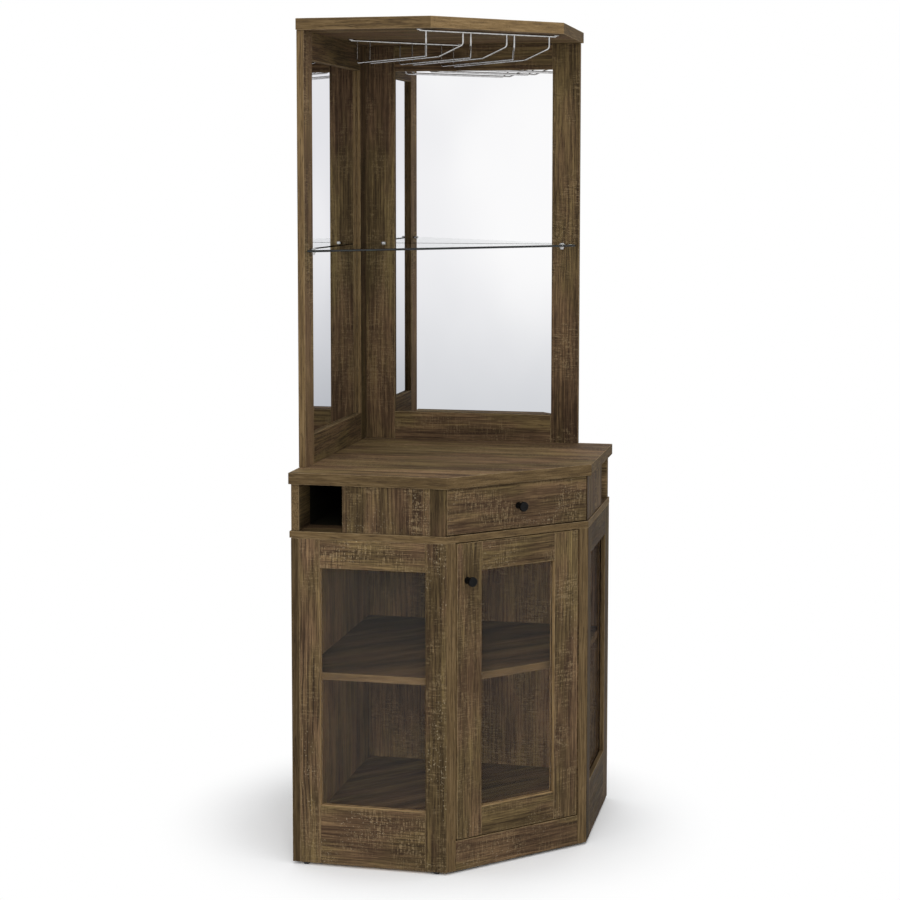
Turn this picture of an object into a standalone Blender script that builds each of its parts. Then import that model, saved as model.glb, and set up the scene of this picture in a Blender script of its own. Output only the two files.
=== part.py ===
"""Corner bar cabinet in rustic oak boards.

A five-sided base with glazed sides, a glazed door, a drawer and two bottle niches
carries two framed mirrors, which carry a cap, a glass shelf and a stemware rack.
The room's corner is the vertical line behind the cabinet. Metres, +Z up, door towards -Y.
"""

import math

import bmesh
import bpy
from mathutils import Matrix, Quaternion, Vector

for leftover in list(bpy.data.objects):
    bpy.data.objects.remove(leftover)

ROOT2 = math.sqrt(2)

# Clearances and small details that every board shares
FIT = 0.0003
EASE = 0.0007
OVERRUN = 0.002
WALL_GAP = 0.0034

# Counter: length along each wall, and length of its two short side edges
COUNTER_LENGTH = 0.626
COUNTER_END = 0.354
COUNTER_THICKNESS = 0.025
OVERHANG = 0.0065

# Heights of the layers, from the floor up
GLIDE_HEIGHT = 0.006
LOWER_HEIGHT = 0.7255
MID_THICKNESS = 0.015
DRAWER_SPACE = 0.104
HUTCH_HEIGHT = 0.9595

# Base boards and glazed frames
BOARD = 0.018
BOTTOM_THICKNESS = 0.016
PLINTH_HEIGHT = 0.0665
SHELF_THICKNESS = 0.016
SHELF_TOP_HEIGHT = 0.431
SHELF_SET_BACK = 0.027
STILE_WIDTH = 0.046
RAIL_WIDTH = 0.064
SIDE_BOTTOM_RAIL_WIDTH = 0.131
GLASS = 0.004
GLASS_RECESS = 0.010
GLASS_PLAY = 0.0003
GROOVE_DEPTH = 0.008

# Door
DOOR_THICKNESS = 0.018
DOOR_STILE_WIDTH = 0.064
DOOR_RAIL_WIDTH = 0.063
DOOR_GAP = 0.0026
PIVOT_FROM_EDGE = 0.009
PIVOT_PIN_RADIUS = 0.003
PIVOT_PIN_INSERT = 0.018
PIVOT_PLAY = 0.0003
PIVOT_BORE_DEPTH = 0.010

# Knobs: radii and heights of one turned profile
KNOB_STEM_RADIUS = 0.0058
KNOB_NECK_RADIUS = 0.0046
KNOB_HEAD_RADIUS = 0.0108
KNOB_RIM_RADIUS = 0.0096
KNOB_NECK_HEIGHT = 0.008
KNOB_HEAD_START = 0.0165
KNOB_HEAD_FULL = 0.0185
KNOB_RIM_START = 0.0226
KNOB_PROJECTION = 0.024
DOOR_KNOB_FROM_EDGE = 0.026
DOOR_KNOB_FROM_TOP = 0.082

# Drawer layer: how far it stands in from the mid board, and its bottle niches
DRAWER_LAYER_SET_BACK = 0.003
NICHE_WIDTH = 0.0976
NICHE_WALL = 0.015

# Drawer
DRAWER_FRONT_THICKNESS = 0.018
DRAWER_FRONT_GAP = 0.0024
DRAWER_WALL = 0.012
DRAWER_BOX_HEIGHT = 0.070
DRAWER_BOX_LIFT = 0.004
DRAWER_BOX_LENGTH = 0.300
DRAWER_BOX_HALF_WIDTH = 0.159
DRAWER_BOTTOM = 0.004
DRAWER_BOTTOM_LIFT = 0.012
DRAWER_GROOVE = 0.005

# Centre runner under the drawer: a fixed track and the channel that slides on it
TRACK_WALL = 0.0015
TRACK_FOOT_WIDTH = 0.026
TRACK_WEB_WIDTH = 0.004
TRACK_HEAD_WIDTH = 0.018
TRACK_LENGTH = 0.290
TRACK_PLAY = 0.0010
TRACK_SET_BACK = 0.003
CHANNEL_LIP = 0.0045

# Mirror frames of the hutch
HUTCH_LENGTH = 0.544
HUTCH_BOARD = 0.016
HUTCH_STILE_WIDTH = 0.066
HUTCH_CORNER_STILE_WIDTH = 0.072
HUTCH_TOP_RAIL_WIDTH = 0.061
HUTCH_BOTTOM_RAIL_WIDTH = 0.067
REBATE_DEPTH = 0.007
REBATE_WIDTH = 0.008
MIRROR = 0.004

# Cap
CAP_LENGTH = 0.550
CAP_END = 0.302
CAP_THICKNESS = 0.025

# Glass shelf and its three clips
GLASS_SHELF_HEIGHT = 1.352
GLASS_SHELF_THICKNESS = 0.005
GLASS_SHELF_SET_IN = 0.007
GLASS_SHELF_TIP = 0.035
GLASS_SHELF_EDGE_GAP = 0.0035
CLIP_WIDTH = 0.012
CLIP_WALL = 0.0025
CLIP_JAW = 0.013
CLIP_FROM_OUTER_EDGE = 0.040
CLIP_FROM_CORNER = 0.047

# Stemware rack: three flared channels bent from wire
WIRE_RADIUS = 0.0020
BAR_RADIUS = 0.0024
BAR_DROP = 0.0003
RACK_CHANNELS = 3
RACK_PITCH = 0.1155
RACK_SLOT = 0.034
RACK_MOUTH = 0.095
RACK_FRONT = 0.562
RACK_REAR = 0.213
RACK_DROP = 0.054
RACK_MOUTH_DROP = 0.030
RACK_MOUTH_LENGTH = 0.049
RACK_BEND = 0.008
RACK_BAR_END = 0.018
TAB_LENGTH = 0.014
TAB_WIDTH = 0.010
TAB_THICKNESS = 0.0014
TAB_LAP = 0.006

# Floor glides
GLIDE_RADIUS = 0.0073
GLIDE_TIP_RADIUS = 0.0052
GLIDE_FROM_BACK_BOARD = 0.0115
GLIDE_FROM_FRONT = 0.0235
GLIDE_FROM_CORNER = 0.030

# Segments of round pieces, and the angle from which an edge counts as sharp
SHARP = math.radians(30)
KNOB_SEGMENTS = 28
ROD_SEGMENTS = 16
WIRE_RESOLUTION = 2
BEND_POINTS = 4

# Finishes: colour, roughness, metallic
OAK = ((0.115, 0.077, 0.044), 0.62, 0.0)
OAK_DARK = ((0.085, 0.058, 0.034), 0.65, 0.0)
SMOKED_GLASS = ((0.060, 0.050, 0.042), 0.08, 0.0)
CLEAR_GLASS = ((0.620, 0.760, 0.700), 0.05, 0.0)
SILVERED = ((0.900, 0.910, 0.920), 0.04, 1.0)
HARDBOARD = ((0.190, 0.130, 0.075), 0.80, 0.0)
CHROME = ((0.780, 0.780, 0.790), 0.18, 1.0)
ZINC = ((0.520, 0.530, 0.540), 0.35, 1.0)
BLACK = ((0.012, 0.012, 0.013), 0.45, 0.0)

# Levels that follow from the heights
CARCASS_BOTTOM = GLIDE_HEIGHT
MID_UNDERSIDE = CARCASS_BOTTOM + LOWER_HEIGHT
MID_TOP = MID_UNDERSIDE + MID_THICKNESS
COUNTER_UNDERSIDE = MID_TOP + DRAWER_SPACE
COUNTER_TOP = COUNTER_UNDERSIDE + COUNTER_THICKNESS
CAP_UNDERSIDE = COUNTER_TOP + HUTCH_HEIGHT
CAP_TOP = CAP_UNDERSIDE + CAP_THICKNESS
PLINTH_TOP = CARCASS_BOTTOM + PLINTH_HEIGHT
DOOR_BOTTOM = PLINTH_TOP + DOOR_GAP
DOOR_TOP = MID_UNDERSIDE - DOOR_GAP


def front_of(length, end):
    """Distance from the room's corner to the front face of a five-sided plan."""
    return (length + end) / ROOT2


# Plan sizes that follow: the base stands in from the counter by its overhang
COUNTER_FRONT = front_of(COUNTER_LENGTH, COUNTER_END)
BASE_LENGTH = COUNTER_LENGTH - OVERHANG
BASE_FRONT = COUNTER_FRONT - OVERHANG
BASE_END = ROOT2 * BASE_FRONT - BASE_LENGTH
INNER_FACE = BASE_LENGTH - BOARD
BACK_FACE = WALL_GAP + BOARD
NICHE_END = BACK_FACE + NICHE_WIDTH
SIDE_PANEL_FACE = BASE_LENGTH - DRAWER_LAYER_SET_BACK
SIDE_PANEL_BACK = SIDE_PANEL_FACE - BOARD
DRAWER_FACE = BASE_FRONT - DRAWER_LAYER_SET_BACK
DRAWER_OPENING_HALF = ROOT2 * SIDE_PANEL_FACE - DRAWER_FACE
DRAWER_FRONT_BACK = DRAWER_FACE - DRAWER_FRONT_THICKNESS
DOOR_HALF_WIDTH = ROOT2 * INNER_FACE - BASE_FRONT - DOOR_GAP
DOOR_BACK = BASE_FRONT - DOOR_THICKNESS
GROOVE = GLASS + 2 * GLASS_PLAY

# The origin lies under the middle of the whole depth, from the room's corner to the door's knob
MIDDLE = (BASE_FRONT + FIT + KNOB_PROJECTION) / 2


def wall_point(side, along, out, height):
    """A point by its distance along one side face and its distance out along that side's wall."""
    across = (along - out) / ROOT2
    return Vector((across if side == "left" else -across, MIDDLE - (along + out) / ROOT2, height))


def front_point(across, depth, height):
    """A point by its distance right of the middle and its distance from the room's corner."""
    return Vector((across, MIDDLE - depth, height))


DOOR_HINGE = bpy.data.objects.new("door_hinge_axis", None)
DOOR_HINGE.location = front_point(DOOR_HALF_WIDTH - PIVOT_FROM_EDGE, BASE_FRONT - DOOR_THICKNESS / 2,
                                  DOOR_BOTTOM)
DRAWER_SLIDE = bpy.data.objects.new("drawer_slide_axis", None)
DRAWER_SLIDE.location = front_point(0, DRAWER_FACE, MID_TOP)
for carrier in (DOOR_HINGE, DRAWER_SLIDE):
    bpy.context.scene.collection.objects.link(carrier)


def place(name, mesh, spot, finish, carrier=None):
    """Make one named object from a bmesh that is drawn around its own spot."""
    bmesh.ops.recalc_face_normals(mesh, faces=mesh.faces)
    data = bpy.data.meshes.new(name)
    mesh.to_mesh(data)
    mesh.free()
    piece = bpy.data.objects.new(name, data)
    bpy.context.scene.collection.objects.link(piece)
    piece.location = spot
    if carrier:
        piece.parent = carrier
        piece.location = spot - carrier.location
    colour, roughness, metallic = finish
    material = bpy.data.materials.new(name + "_finish")
    material.use_nodes = True
    shader = material.node_tree.nodes["Principled BSDF"]
    shader.inputs["Base Color"].default_value = (*colour, 1)
    shader.inputs["Roughness"].default_value = roughness
    shader.inputs["Metallic"].default_value = metallic
    data.materials.append(material)
    return piece


def sweep(mesh, corners, travel):
    """Add one closed body to a bmesh: a flat outline carried along a straight travel."""
    outline = mesh.faces.new([mesh.verts.new(corner) for corner in corners])
    grown = bmesh.ops.extrude_face_region(mesh, geom=[outline])["geom"]
    moved = [item for item in grown if isinstance(item, bmesh.types.BMVert)]
    bmesh.ops.translate(mesh, vec=travel, verts=moved)


def ease_edges(mesh, width):
    """Break the outward corners of a bmesh, and leave the inward ones sharp."""
    bmesh.ops.recalc_face_normals(mesh, faces=mesh.faces)
    outward = [edge for edge in mesh.edges if edge.calc_face_angle_signed(0) > SHARP]
    bmesh.ops.bevel(mesh, geom=outward, offset=width, offset_type="OFFSET", segments=1, profile=0.5,
                    affect="EDGES", clamp_overlap=True)


def prism(name, corners, travel, finish, carrier=None, ease=EASE):
    """One solid with broken edges, swept from an outline of world points."""
    spot = sum(corners, Vector()) / len(corners)
    mesh = bmesh.new()
    sweep(mesh, [corner - spot for corner in corners], travel)
    ease_edges(mesh, ease)
    return place(name, mesh, spot, finish, carrier)


def plate(name, side, outline, bottom, top, finish, carrier=None):
    """A board with a vertical thickness or height, from its (along, out) outline."""
    corners = [wall_point(side, along, out, bottom) for along, out in outline]
    return prism(name, corners, Vector((0, 0, top - bottom)), finish, carrier)


def front_plate(name, outline, bottom, top, finish, carrier=None):
    """The same from an (across, depth) outline."""
    corners = [front_point(across, depth, bottom) for across, depth in outline]
    return prism(name, corners, Vector((0, 0, top - bottom)), finish, carrier)


def box_outline(first, last, near, far):
    """Four corners between two pairs of limits."""
    return [(first, near), (last, near), (last, far), (first, far)]


def five_sided(length, front, start):
    """Corner plan: two sides on the walls, two side faces and a front face between them."""
    end = ROOT2 * front - length
    return [(start, start), (length, start), (length, end), (end, length), (start, length)]


def rod(mesh, start, stop, radius, segments=ROD_SEGMENTS):
    """Add one closed cylinder between two points to a bmesh."""
    line = stop - start
    turn = line.to_track_quat("Z", "Y").to_matrix().to_4x4()
    place_at = Matrix.Translation((start + stop) / 2) @ turn
    bmesh.ops.create_cone(mesh, cap_ends=True, segments=segments, radius1=radius, radius2=radius,
                          depth=line.length, matrix=place_at)


def bore(target, start, stop, radius):
    """Cut a round hole between two world points."""
    mesh = bmesh.new()
    rod(mesh, Vector(), stop - start, radius)
    cutter = bpy.data.objects.new("cut_" + target.name, bpy.data.meshes.new("cut_" + target.name))
    bmesh.ops.recalc_face_normals(mesh, faces=mesh.faces)
    mesh.to_mesh(cutter.data)
    mesh.free()
    bpy.context.scene.collection.objects.link(cutter)
    cutter.location = start
    cutter.hide_render = True
    cutter.display_type = "WIRE"
    if target.parent:
        cutter.parent = target.parent
        cutter.location = start - target.parent.location
    hole = target.modifiers.new("hole", "BOOLEAN")
    hole.operation = "DIFFERENCE"
    hole.object = cutter


def shade_round(piece):
    """Smooth the round faces and keep the sharp edges crisp."""
    piece.data.shade_smooth()
    piece.data.set_sharp_from_angle(angle=SHARP)


# Five-sided boards
counter_top = plate("counter_top", "right", five_sided(COUNTER_LENGTH, COUNTER_FRONT, 0),
                    COUNTER_UNDERSIDE, COUNTER_TOP, OAK)
mid_board = plate("mid_board", "right", five_sided(BASE_LENGTH, BASE_FRONT, 0), MID_UNDERSIDE, MID_TOP, OAK)
plate("bottom_board", "right", five_sided(INNER_FACE - FIT, BASE_FRONT - BOARD - FIT, BACK_FACE + FIT),
      PLINTH_TOP - BOTTOM_THICKNESS, PLINTH_TOP, OAK)
plate("lower_shelf", "right", five_sided(INNER_FACE - FIT, BASE_FRONT - SHELF_SET_BACK, BACK_FACE + FIT),
      SHELF_TOP_HEIGHT - SHELF_THICKNESS, SHELF_TOP_HEIGHT, OAK)
cap_board = plate("cap_board", "right", five_sided(CAP_LENGTH, front_of(CAP_LENGTH, CAP_END), 0),
                  CAP_UNDERSIDE, CAP_TOP, OAK)

# Back boards: the left one runs to the corner and the right one butts against it
for side, start in (("left", WALL_GAP), ("right", BACK_FACE + FIT)):
    lower = box_outline(WALL_GAP, BACK_FACE, start, BASE_LENGTH)
    plate("lower_back_" + side, side, lower, CARCASS_BOTTOM, MID_UNDERSIDE - FIT, OAK)
    upper = box_outline(WALL_GAP, BACK_FACE, start, SIDE_PANEL_FACE)
    plate("upper_back_" + side, side, upper, MID_TOP + FIT, COUNTER_UNDERSIDE - FIT, OAK)


def grooved_rail(name, start, travel, outward, inner, outer, finish, carrier=None):
    """A rail swept along its length, with a groove for the glass in its inner edge.

    outward is the way from the face's back to its front; inner and outer are edge heights.
    """
    lip = BOARD - GLASS_RECESS
    into = math.copysign(GROOVE_DEPTH, outer - inner)
    profile = [(0, outer), (BOARD, outer), (BOARD, inner), (lip, inner), (lip, inner + into),
               (lip - GROOVE, inner + into), (lip - GROOVE, inner), (0, inner)]
    corners = [start + outward * depth + Vector((0, 0, height)) for depth, height in profile]
    return prism(name, corners, travel, finish, carrier)


# Glazed side frames: the front stile's end is mitred in line with the centre face
for side in ("left", "right"):
    bottom, top = CARCASS_BOTTOM, MID_UNDERSIDE - FIT
    first = BACK_FACE + FIT
    opening = (first + STILE_WIDTH, BASE_END - STILE_WIDTH)
    glass_front = BASE_LENGTH - GLASS_RECESS
    glass_back = glass_front - GROOVE
    rear = [(first, INNER_FACE), (first, BASE_LENGTH), (opening[0], BASE_LENGTH), (opening[0], glass_front),
            (opening[0] - GROOVE_DEPTH, glass_front), (opening[0] - GROOVE_DEPTH, glass_back),
            (opening[0], glass_back), (opening[0], INNER_FACE)]
    front = [(BASE_END + BOARD, INNER_FACE), (BASE_END, BASE_LENGTH), (opening[1], BASE_LENGTH),
             (opening[1], glass_front), (opening[1] + GROOVE_DEPTH, glass_front),
             (opening[1] + GROOVE_DEPTH, glass_back), (opening[1], glass_back), (opening[1], INNER_FACE)]
    frame = side + "_frame_"
    plate(frame + "rear_stile", side, rear, bottom, top, OAK)
    plate(frame + "front_stile", side, front, bottom, top, OAK)
    rail_start = wall_point(side, opening[0] + FIT, INNER_FACE, 0)
    rail_travel = wall_point(side, opening[1] - FIT, INNER_FACE, 0) - rail_start
    outward = (wall_point(side, 0, BOARD, 0) - wall_point(side, 0, 0, 0)).normalized()
    grooved_rail(frame + "bottom_rail", rail_start, rail_travel, outward,
                 bottom + SIDE_BOTTOM_RAIL_WIDTH, bottom, OAK)
    grooved_rail(frame + "top_rail", rail_start, rail_travel, outward, top - RAIL_WIDTH, top, OAK)
    reach = GROOVE_DEPTH - FIT
    pane = box_outline(opening[0] - reach, opening[1] + reach,
                       glass_back + GLASS_PLAY, glass_front - GLASS_PLAY)
    plate(frame + "glass", side, pane, bottom + SIDE_BOTTOM_RAIL_WIDTH - reach, top - RAIL_WIDTH + reach,
          SMOKED_GLASS)


def plinth():
    """Rail under the door, its ends cut to the side frames' inner faces."""
    near, far = BASE_FRONT - BOARD, BASE_FRONT
    wide, narrow = (ROOT2 * (INNER_FACE - FIT) - depth for depth in (near, far))
    outline = [(-wide, near), (wide, near), (narrow, far), (-narrow, far)]
    return front_plate("plinth_rail", outline, CARCASS_BOTTOM, PLINTH_TOP, OAK)


plinth_rail = plinth()


def door():
    """Glazed door, inset between the side frames and hung on the right."""
    half, glass_front = DOOR_HALF_WIDTH, BASE_FRONT - GLASS_RECESS
    glass_back = glass_front - GROOVE
    inner = half - DOOR_STILE_WIDTH
    stiles = {}
    for name, hand in (("door_latch_stile", -1), ("door_hinge_stile", 1)):
        outline = [(half, DOOR_BACK), (half, BASE_FRONT), (inner, BASE_FRONT), (inner, glass_front),
                   (inner + GROOVE_DEPTH, glass_front), (inner + GROOVE_DEPTH, glass_back),
                   (inner, glass_back), (inner, DOOR_BACK)]
        outline = [(hand * across, depth) for across, depth in outline]
        stiles[hand] = front_plate(name, outline, DOOR_BOTTOM, DOOR_TOP, OAK, DOOR_HINGE)
    rail_start = front_point(-inner + FIT, DOOR_BACK, 0)
    rail_travel = Vector((2 * (inner - FIT), 0, 0))
    outward = Vector((0, -1, 0))
    low, high = DOOR_BOTTOM + DOOR_RAIL_WIDTH, DOOR_TOP - DOOR_RAIL_WIDTH
    grooved_rail("door_bottom_rail", rail_start, rail_travel, outward, low, DOOR_BOTTOM, OAK, DOOR_HINGE)
    grooved_rail("door_top_rail", rail_start, rail_travel, outward, high, DOOR_TOP, OAK, DOOR_HINGE)
    reach = GROOVE_DEPTH - FIT
    pane = box_outline(-inner - reach, inner + reach, glass_back + GLASS_PLAY, glass_front - GLASS_PLAY)
    front_plate("door_glass", pane, low - reach, high + reach, SMOKED_GLASS, DOOR_HINGE)
    return stiles[1]


door_hinge_stile = door()


def door_pivots():
    """Steel pins in the door's bottom and top edges, turning in bores of the plinth and the mid board."""
    axis = DOOR_HINGE.location
    for end, edge, up, seat, board in (("bottom", DOOR_BOTTOM, -1, PLINTH_TOP, plinth_rail),
                                       ("top", DOOR_TOP, 1, MID_UNDERSIDE, mid_board)):
        inside, tip, rim, beyond = (Vector((axis.x, axis.y, height)) for height in (
            edge - up * PIVOT_PIN_INSERT, seat + up * (PIVOT_BORE_DEPTH - PIVOT_PLAY),
            seat - up * OVERRUN, seat + up * PIVOT_BORE_DEPTH))
        pin = bmesh.new()
        rod(pin, inside - axis, tip - axis, PIVOT_PIN_RADIUS)
        shade_round(place("door_pivot_pin_" + end, pin, axis.copy(), ZINC, DOOR_HINGE))
        stop = Vector((0, 0, up * FIT))
        mouth = Vector((axis.x, axis.y, edge + up * OVERRUN))
        bore(door_hinge_stile, inside - stop, mouth, PIVOT_PIN_RADIUS + FIT)
        bore(board, rim, beyond, PIVOT_PIN_RADIUS + PIVOT_PLAY)


door_pivots()


def knob(name, spot, carrier):
    """Turned black knob that points towards -Y."""
    profile = [(0, 0), (KNOB_STEM_RADIUS, 0), (KNOB_NECK_RADIUS, KNOB_NECK_HEIGHT),
               (KNOB_STEM_RADIUS, KNOB_HEAD_START), (KNOB_HEAD_RADIUS, KNOB_HEAD_FULL),
               (KNOB_HEAD_RADIUS, KNOB_RIM_START), (KNOB_RIM_RADIUS, KNOB_PROJECTION), (0, KNOB_PROJECTION)]
    mesh = bmesh.new()
    line = [mesh.verts.new((radius, -height, 0)) for radius, height in profile]
    edges = [mesh.edges.new(pair) for pair in zip(line, line[1:])]
    bmesh.ops.spin(mesh, geom=line + edges, cent=(0, 0, 0), axis=(0, 1, 0), angle=2 * math.pi,
                   steps=KNOB_SEGMENTS, use_merge=True)
    bmesh.ops.remove_doubles(mesh, verts=mesh.verts, dist=EASE / 10)
    shade_round(place(name, mesh, spot, BLACK, carrier))


knob("door_knob", front_point(-DOOR_HALF_WIDTH + DOOR_KNOB_FROM_EDGE, BASE_FRONT + FIT,
                              DOOR_TOP - DOOR_KNOB_FROM_TOP), DOOR_HINGE)
knob("drawer_knob", front_point(0, DRAWER_FACE + FIT, MID_TOP + DRAWER_SPACE / 2), DRAWER_SLIDE)

# Drawer layer: side panels on the side faces, and niche walls behind their edges
low, high = MID_TOP + FIT, COUNTER_UNDERSIDE - FIT
for side, start in (("left", BACK_FACE + FIT), ("right", NICHE_END + NICHE_WALL + FIT)):
    tips = [(out - ROOT2 * DRAWER_OPENING_HALF, out) for out in (SIDE_PANEL_FACE, SIDE_PANEL_BACK)]
    panel = [(NICHE_END, SIDE_PANEL_BACK), (NICHE_END, SIDE_PANEL_FACE), *tips]
    plate("side_panel_" + side, side, panel, low, high, OAK)
    wall = box_outline(NICHE_END, NICHE_END + NICHE_WALL, start, SIDE_PANEL_BACK - FIT)
    plate("niche_wall_" + side, side, wall, low, high, OAK_DARK)


def drawer_front():
    """Front board that closes the drawer's opening, with the same gap on every side."""
    half = DRAWER_OPENING_HALF - DRAWER_FRONT_GAP
    outline = box_outline(-half, half, DRAWER_FRONT_BACK, DRAWER_FACE)
    front_plate("drawer_front", outline, MID_TOP + DRAWER_FRONT_GAP, COUNTER_UNDERSIDE - DRAWER_FRONT_GAP,
                OAK, DRAWER_SLIDE)


def drawer_box():
    """Two sides and a back, with a thin bottom held in grooves."""
    floor = MID_TOP + DRAWER_BOX_LIFT
    rim = floor + DRAWER_BOX_HEIGHT
    slot = floor + DRAWER_BOTTOM_LIFT
    half = DRAWER_BOX_HALF_WIDTH
    inner = half - DRAWER_WALL
    front = DRAWER_FRONT_BACK - FIT
    rear = front - DRAWER_BOX_LENGTH
    thick = DRAWER_BOTTOM + 2 * FIT
    for name, hand in (("drawer_side_left", -1), ("drawer_side_right", 1)):
        profile = [(half, floor), (half, rim), (inner, rim), (inner, slot + thick),
                   (inner + DRAWER_GROOVE, slot + thick), (inner + DRAWER_GROOVE, slot),
                   (inner, slot), (inner, floor)]
        corners = [front_point(hand * across, rear, height) for across, height in profile]
        prism(name, corners, Vector((0, -DRAWER_BOX_LENGTH, 0)), OAK_DARK, DRAWER_SLIDE)
    back = box_outline(-inner + FIT, inner - FIT, rear, rear + DRAWER_WALL)
    front_plate("drawer_back", back, slot + thick, rim, OAK_DARK, DRAWER_SLIDE)
    reach = inner + DRAWER_GROOVE - FIT
    sheet = [front_point(across, depth, slot + FIT)
             for across, depth in box_outline(-reach, reach, rear, front)]
    prism("drawer_bottom", sheet, Vector((0, 0, DRAWER_BOTTOM)), HARDBOARD, DRAWER_SLIDE)
    return slot


def mirrored(profile):
    """A closed outline from its right half, which is listed from the bottom up."""
    return profile + [(-across, height) for across, height in reversed(profile)]


def drawer_runner(underside):
    """Centre runner: an I-shaped track on the mid board, and a lipped channel under the drawer."""
    foot, web, head = (width / 2 for width in (TRACK_FOOT_WIDTH, TRACK_WEB_WIDTH, TRACK_HEAD_WIDTH))
    floor, top = MID_TOP + FIT, underside - FIT
    head_top = top - TRACK_WALL - FIT
    head_bottom = head_top - TRACK_WALL
    track = mirrored([(foot, floor), (foot, floor + TRACK_WALL), (web, floor + TRACK_WALL),
                      (web, head_bottom), (head, head_bottom), (head, head_top)])
    corners = [front_point(across, DRAWER_FRONT_BACK - TRACK_SET_BACK, height) for across, height in track]
    prism("drawer_track", corners, Vector((0, TRACK_LENGTH, 0)), ZINC, ease=TRACK_WALL / 4)
    side = head + TRACK_PLAY
    lip, outer = side - CHANNEL_LIP, side + TRACK_WALL
    lip_top = head_bottom - TRACK_PLAY
    outside = mirrored([(lip, lip_top - TRACK_WALL), (outer, lip_top - TRACK_WALL), (outer, top)])
    inside = mirrored([(lip, lip_top), (side, lip_top), (side, top - TRACK_WALL)])
    channel = outside + list(reversed(inside))
    corners = [front_point(across, DRAWER_FRONT_BACK - FIT, height) for across, height in channel]
    travel = Vector((0, DRAWER_BOX_LENGTH - DRAWER_WALL, 0))
    prism("drawer_channel", corners, travel, ZINC, DRAWER_SLIDE, ease=TRACK_WALL / 4)


drawer_front()
drawer_runner(drawer_box())


def hutch_panel(side, start, corner_width):
    """Framed mirror on one wall: two stiles, two rails and the mirror in their rebate."""
    bottom, top = COUNTER_TOP + FIT, CAP_UNDERSIDE - FIT
    inner, outer = start + corner_width, HUTCH_LENGTH - HUTCH_STILE_WIDTH
    lap, face, rebate = REBATE_WIDTH, HUTCH_BOARD, REBATE_DEPTH
    corner = [(0, start), (face, start), (face, inner), (rebate, inner), (rebate, inner - lap),
              (0, inner - lap)]
    outside = [(0, HUTCH_LENGTH), (face, HUTCH_LENGTH), (face, outer), (rebate, outer), (rebate, outer + lap),
               (0, outer + lap)]
    name = "hutch_" + side + "_"
    plate(name + "corner_stile", side, corner, bottom, top, OAK)
    plate(name + "outer_stile", side, outside, bottom, top, OAK)
    low_edge, high_edge = bottom + HUTCH_BOTTOM_RAIL_WIDTH, top - HUTCH_TOP_RAIL_WIDTH
    travel = wall_point(side, 0, outer - FIT, 0) - wall_point(side, 0, inner + FIT, 0)
    for part, far, near, into in (("bottom_rail", bottom, low_edge, -lap), ("top_rail", top, high_edge, lap)):
        profile = [(0, far), (face, far), (face, near), (rebate, near), (rebate, near + into),
                   (0, near + into)]
        corners = [wall_point(side, along, inner + FIT, height) for along, height in profile]
        prism(name + part, corners, travel, OAK)
    reach, silver = lap - FIT, rebate - FIT
    pane = box_outline(silver - MIRROR, silver, inner - reach, outer + reach)
    plate(name + "mirror", side, pane, low_edge - reach, high_edge + reach, SILVERED)


hutch_panel("left", 0, HUTCH_STILE_WIDTH)
hutch_panel("right", HUTCH_BOARD + FIT, HUTCH_CORNER_STILE_WIDTH)


def glass_shelf():
    """Three-cornered glass shelf with cut tips, held in three clips on the stiles."""
    start = HUTCH_BOARD + GLASS_SHELF_EDGE_GAP
    length = HUTCH_LENGTH - GLASS_SHELF_SET_IN
    outline = five_sided(length, front_of(length, GLASS_SHELF_TIP), start)
    top = GLASS_SHELF_HEIGHT + GLASS_SHELF_THICKNESS
    plate("glass_shelf", "right", outline, GLASS_SHELF_HEIGHT, top, CLEAR_GLASS)
    face = HUTCH_BOARD + FIT
    web, tip = face + CLIP_WALL, face + CLIP_JAW
    under, over = GLASS_SHELF_HEIGHT - FIT, top + FIT
    profile = [(face, under - CLIP_WALL), (tip, under - CLIP_WALL), (tip, under), (web, under),
               (web, over), (tip, over), (tip, over + CLIP_WALL), (face, over + CLIP_WALL)]
    near, far = HUTCH_BOARD + CLIP_FROM_CORNER, HUTCH_LENGTH - CLIP_FROM_OUTER_EDGE
    for name, side, centre in (("left", "left", far), ("corner", "right", near), ("right", "right", far)):
        corners = [wall_point(side, along, centre - CLIP_WIDTH / 2, height) for along, height in profile]
        travel = wall_point(side, 0, CLIP_WIDTH, 0) - wall_point(side, 0, 0, 0)
        prism("shelf_clip_" + name, corners, travel, CHROME, ease=CLIP_WALL / 8)


glass_shelf()


def bent_line(points, radius):
    """Points of a path whose inner corners are rounded to a bend radius."""
    path = [points[0]]
    for before, corner, after in zip(points, points[1:], points[2:]):
        first, second = (before - corner).normalized(), (after - corner).normalized()
        half = first.angle(second) / 2
        setback = radius / math.tan(half)
        centre = corner + (first + second).normalized() * (radius / math.sin(half))
        start, stop = corner + first * setback - centre, corner + second * setback - centre
        turn = start.rotation_difference(stop)
        for step in range(BEND_POINTS + 1):
            path.append(centre + Quaternion().slerp(turn, step / BEND_POINTS) @ start)
    return path + [points[-1]]


def wire(points, radius):
    """One round wire as a mesh object, bevelled along its points."""
    curve = bpy.data.curves.new("wire", "CURVE")
    curve.dimensions = "3D"
    curve.bevel_depth = radius
    curve.bevel_resolution = WIRE_RESOLUTION
    curve.use_fill_caps = True
    spline = curve.splines.new("POLY")
    spline.points.add(len(points) - 1)
    for knot, point in zip(spline.points, points):
        knot.co = (*point, 1)
    drawn = bpy.data.objects.new("wire", curve)
    bpy.context.scene.collection.objects.link(drawn)
    bpy.context.view_layer.update()
    mesh = bmesh.new()
    mesh.from_mesh(drawn.evaluated_get(bpy.context.evaluated_depsgraph_get()).to_mesh())
    bmesh.ops.remove_doubles(mesh, verts=mesh.verts, dist=radius / 100)
    bpy.data.objects.remove(drawn)
    return place("wire", mesh, Vector(), CHROME)


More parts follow.
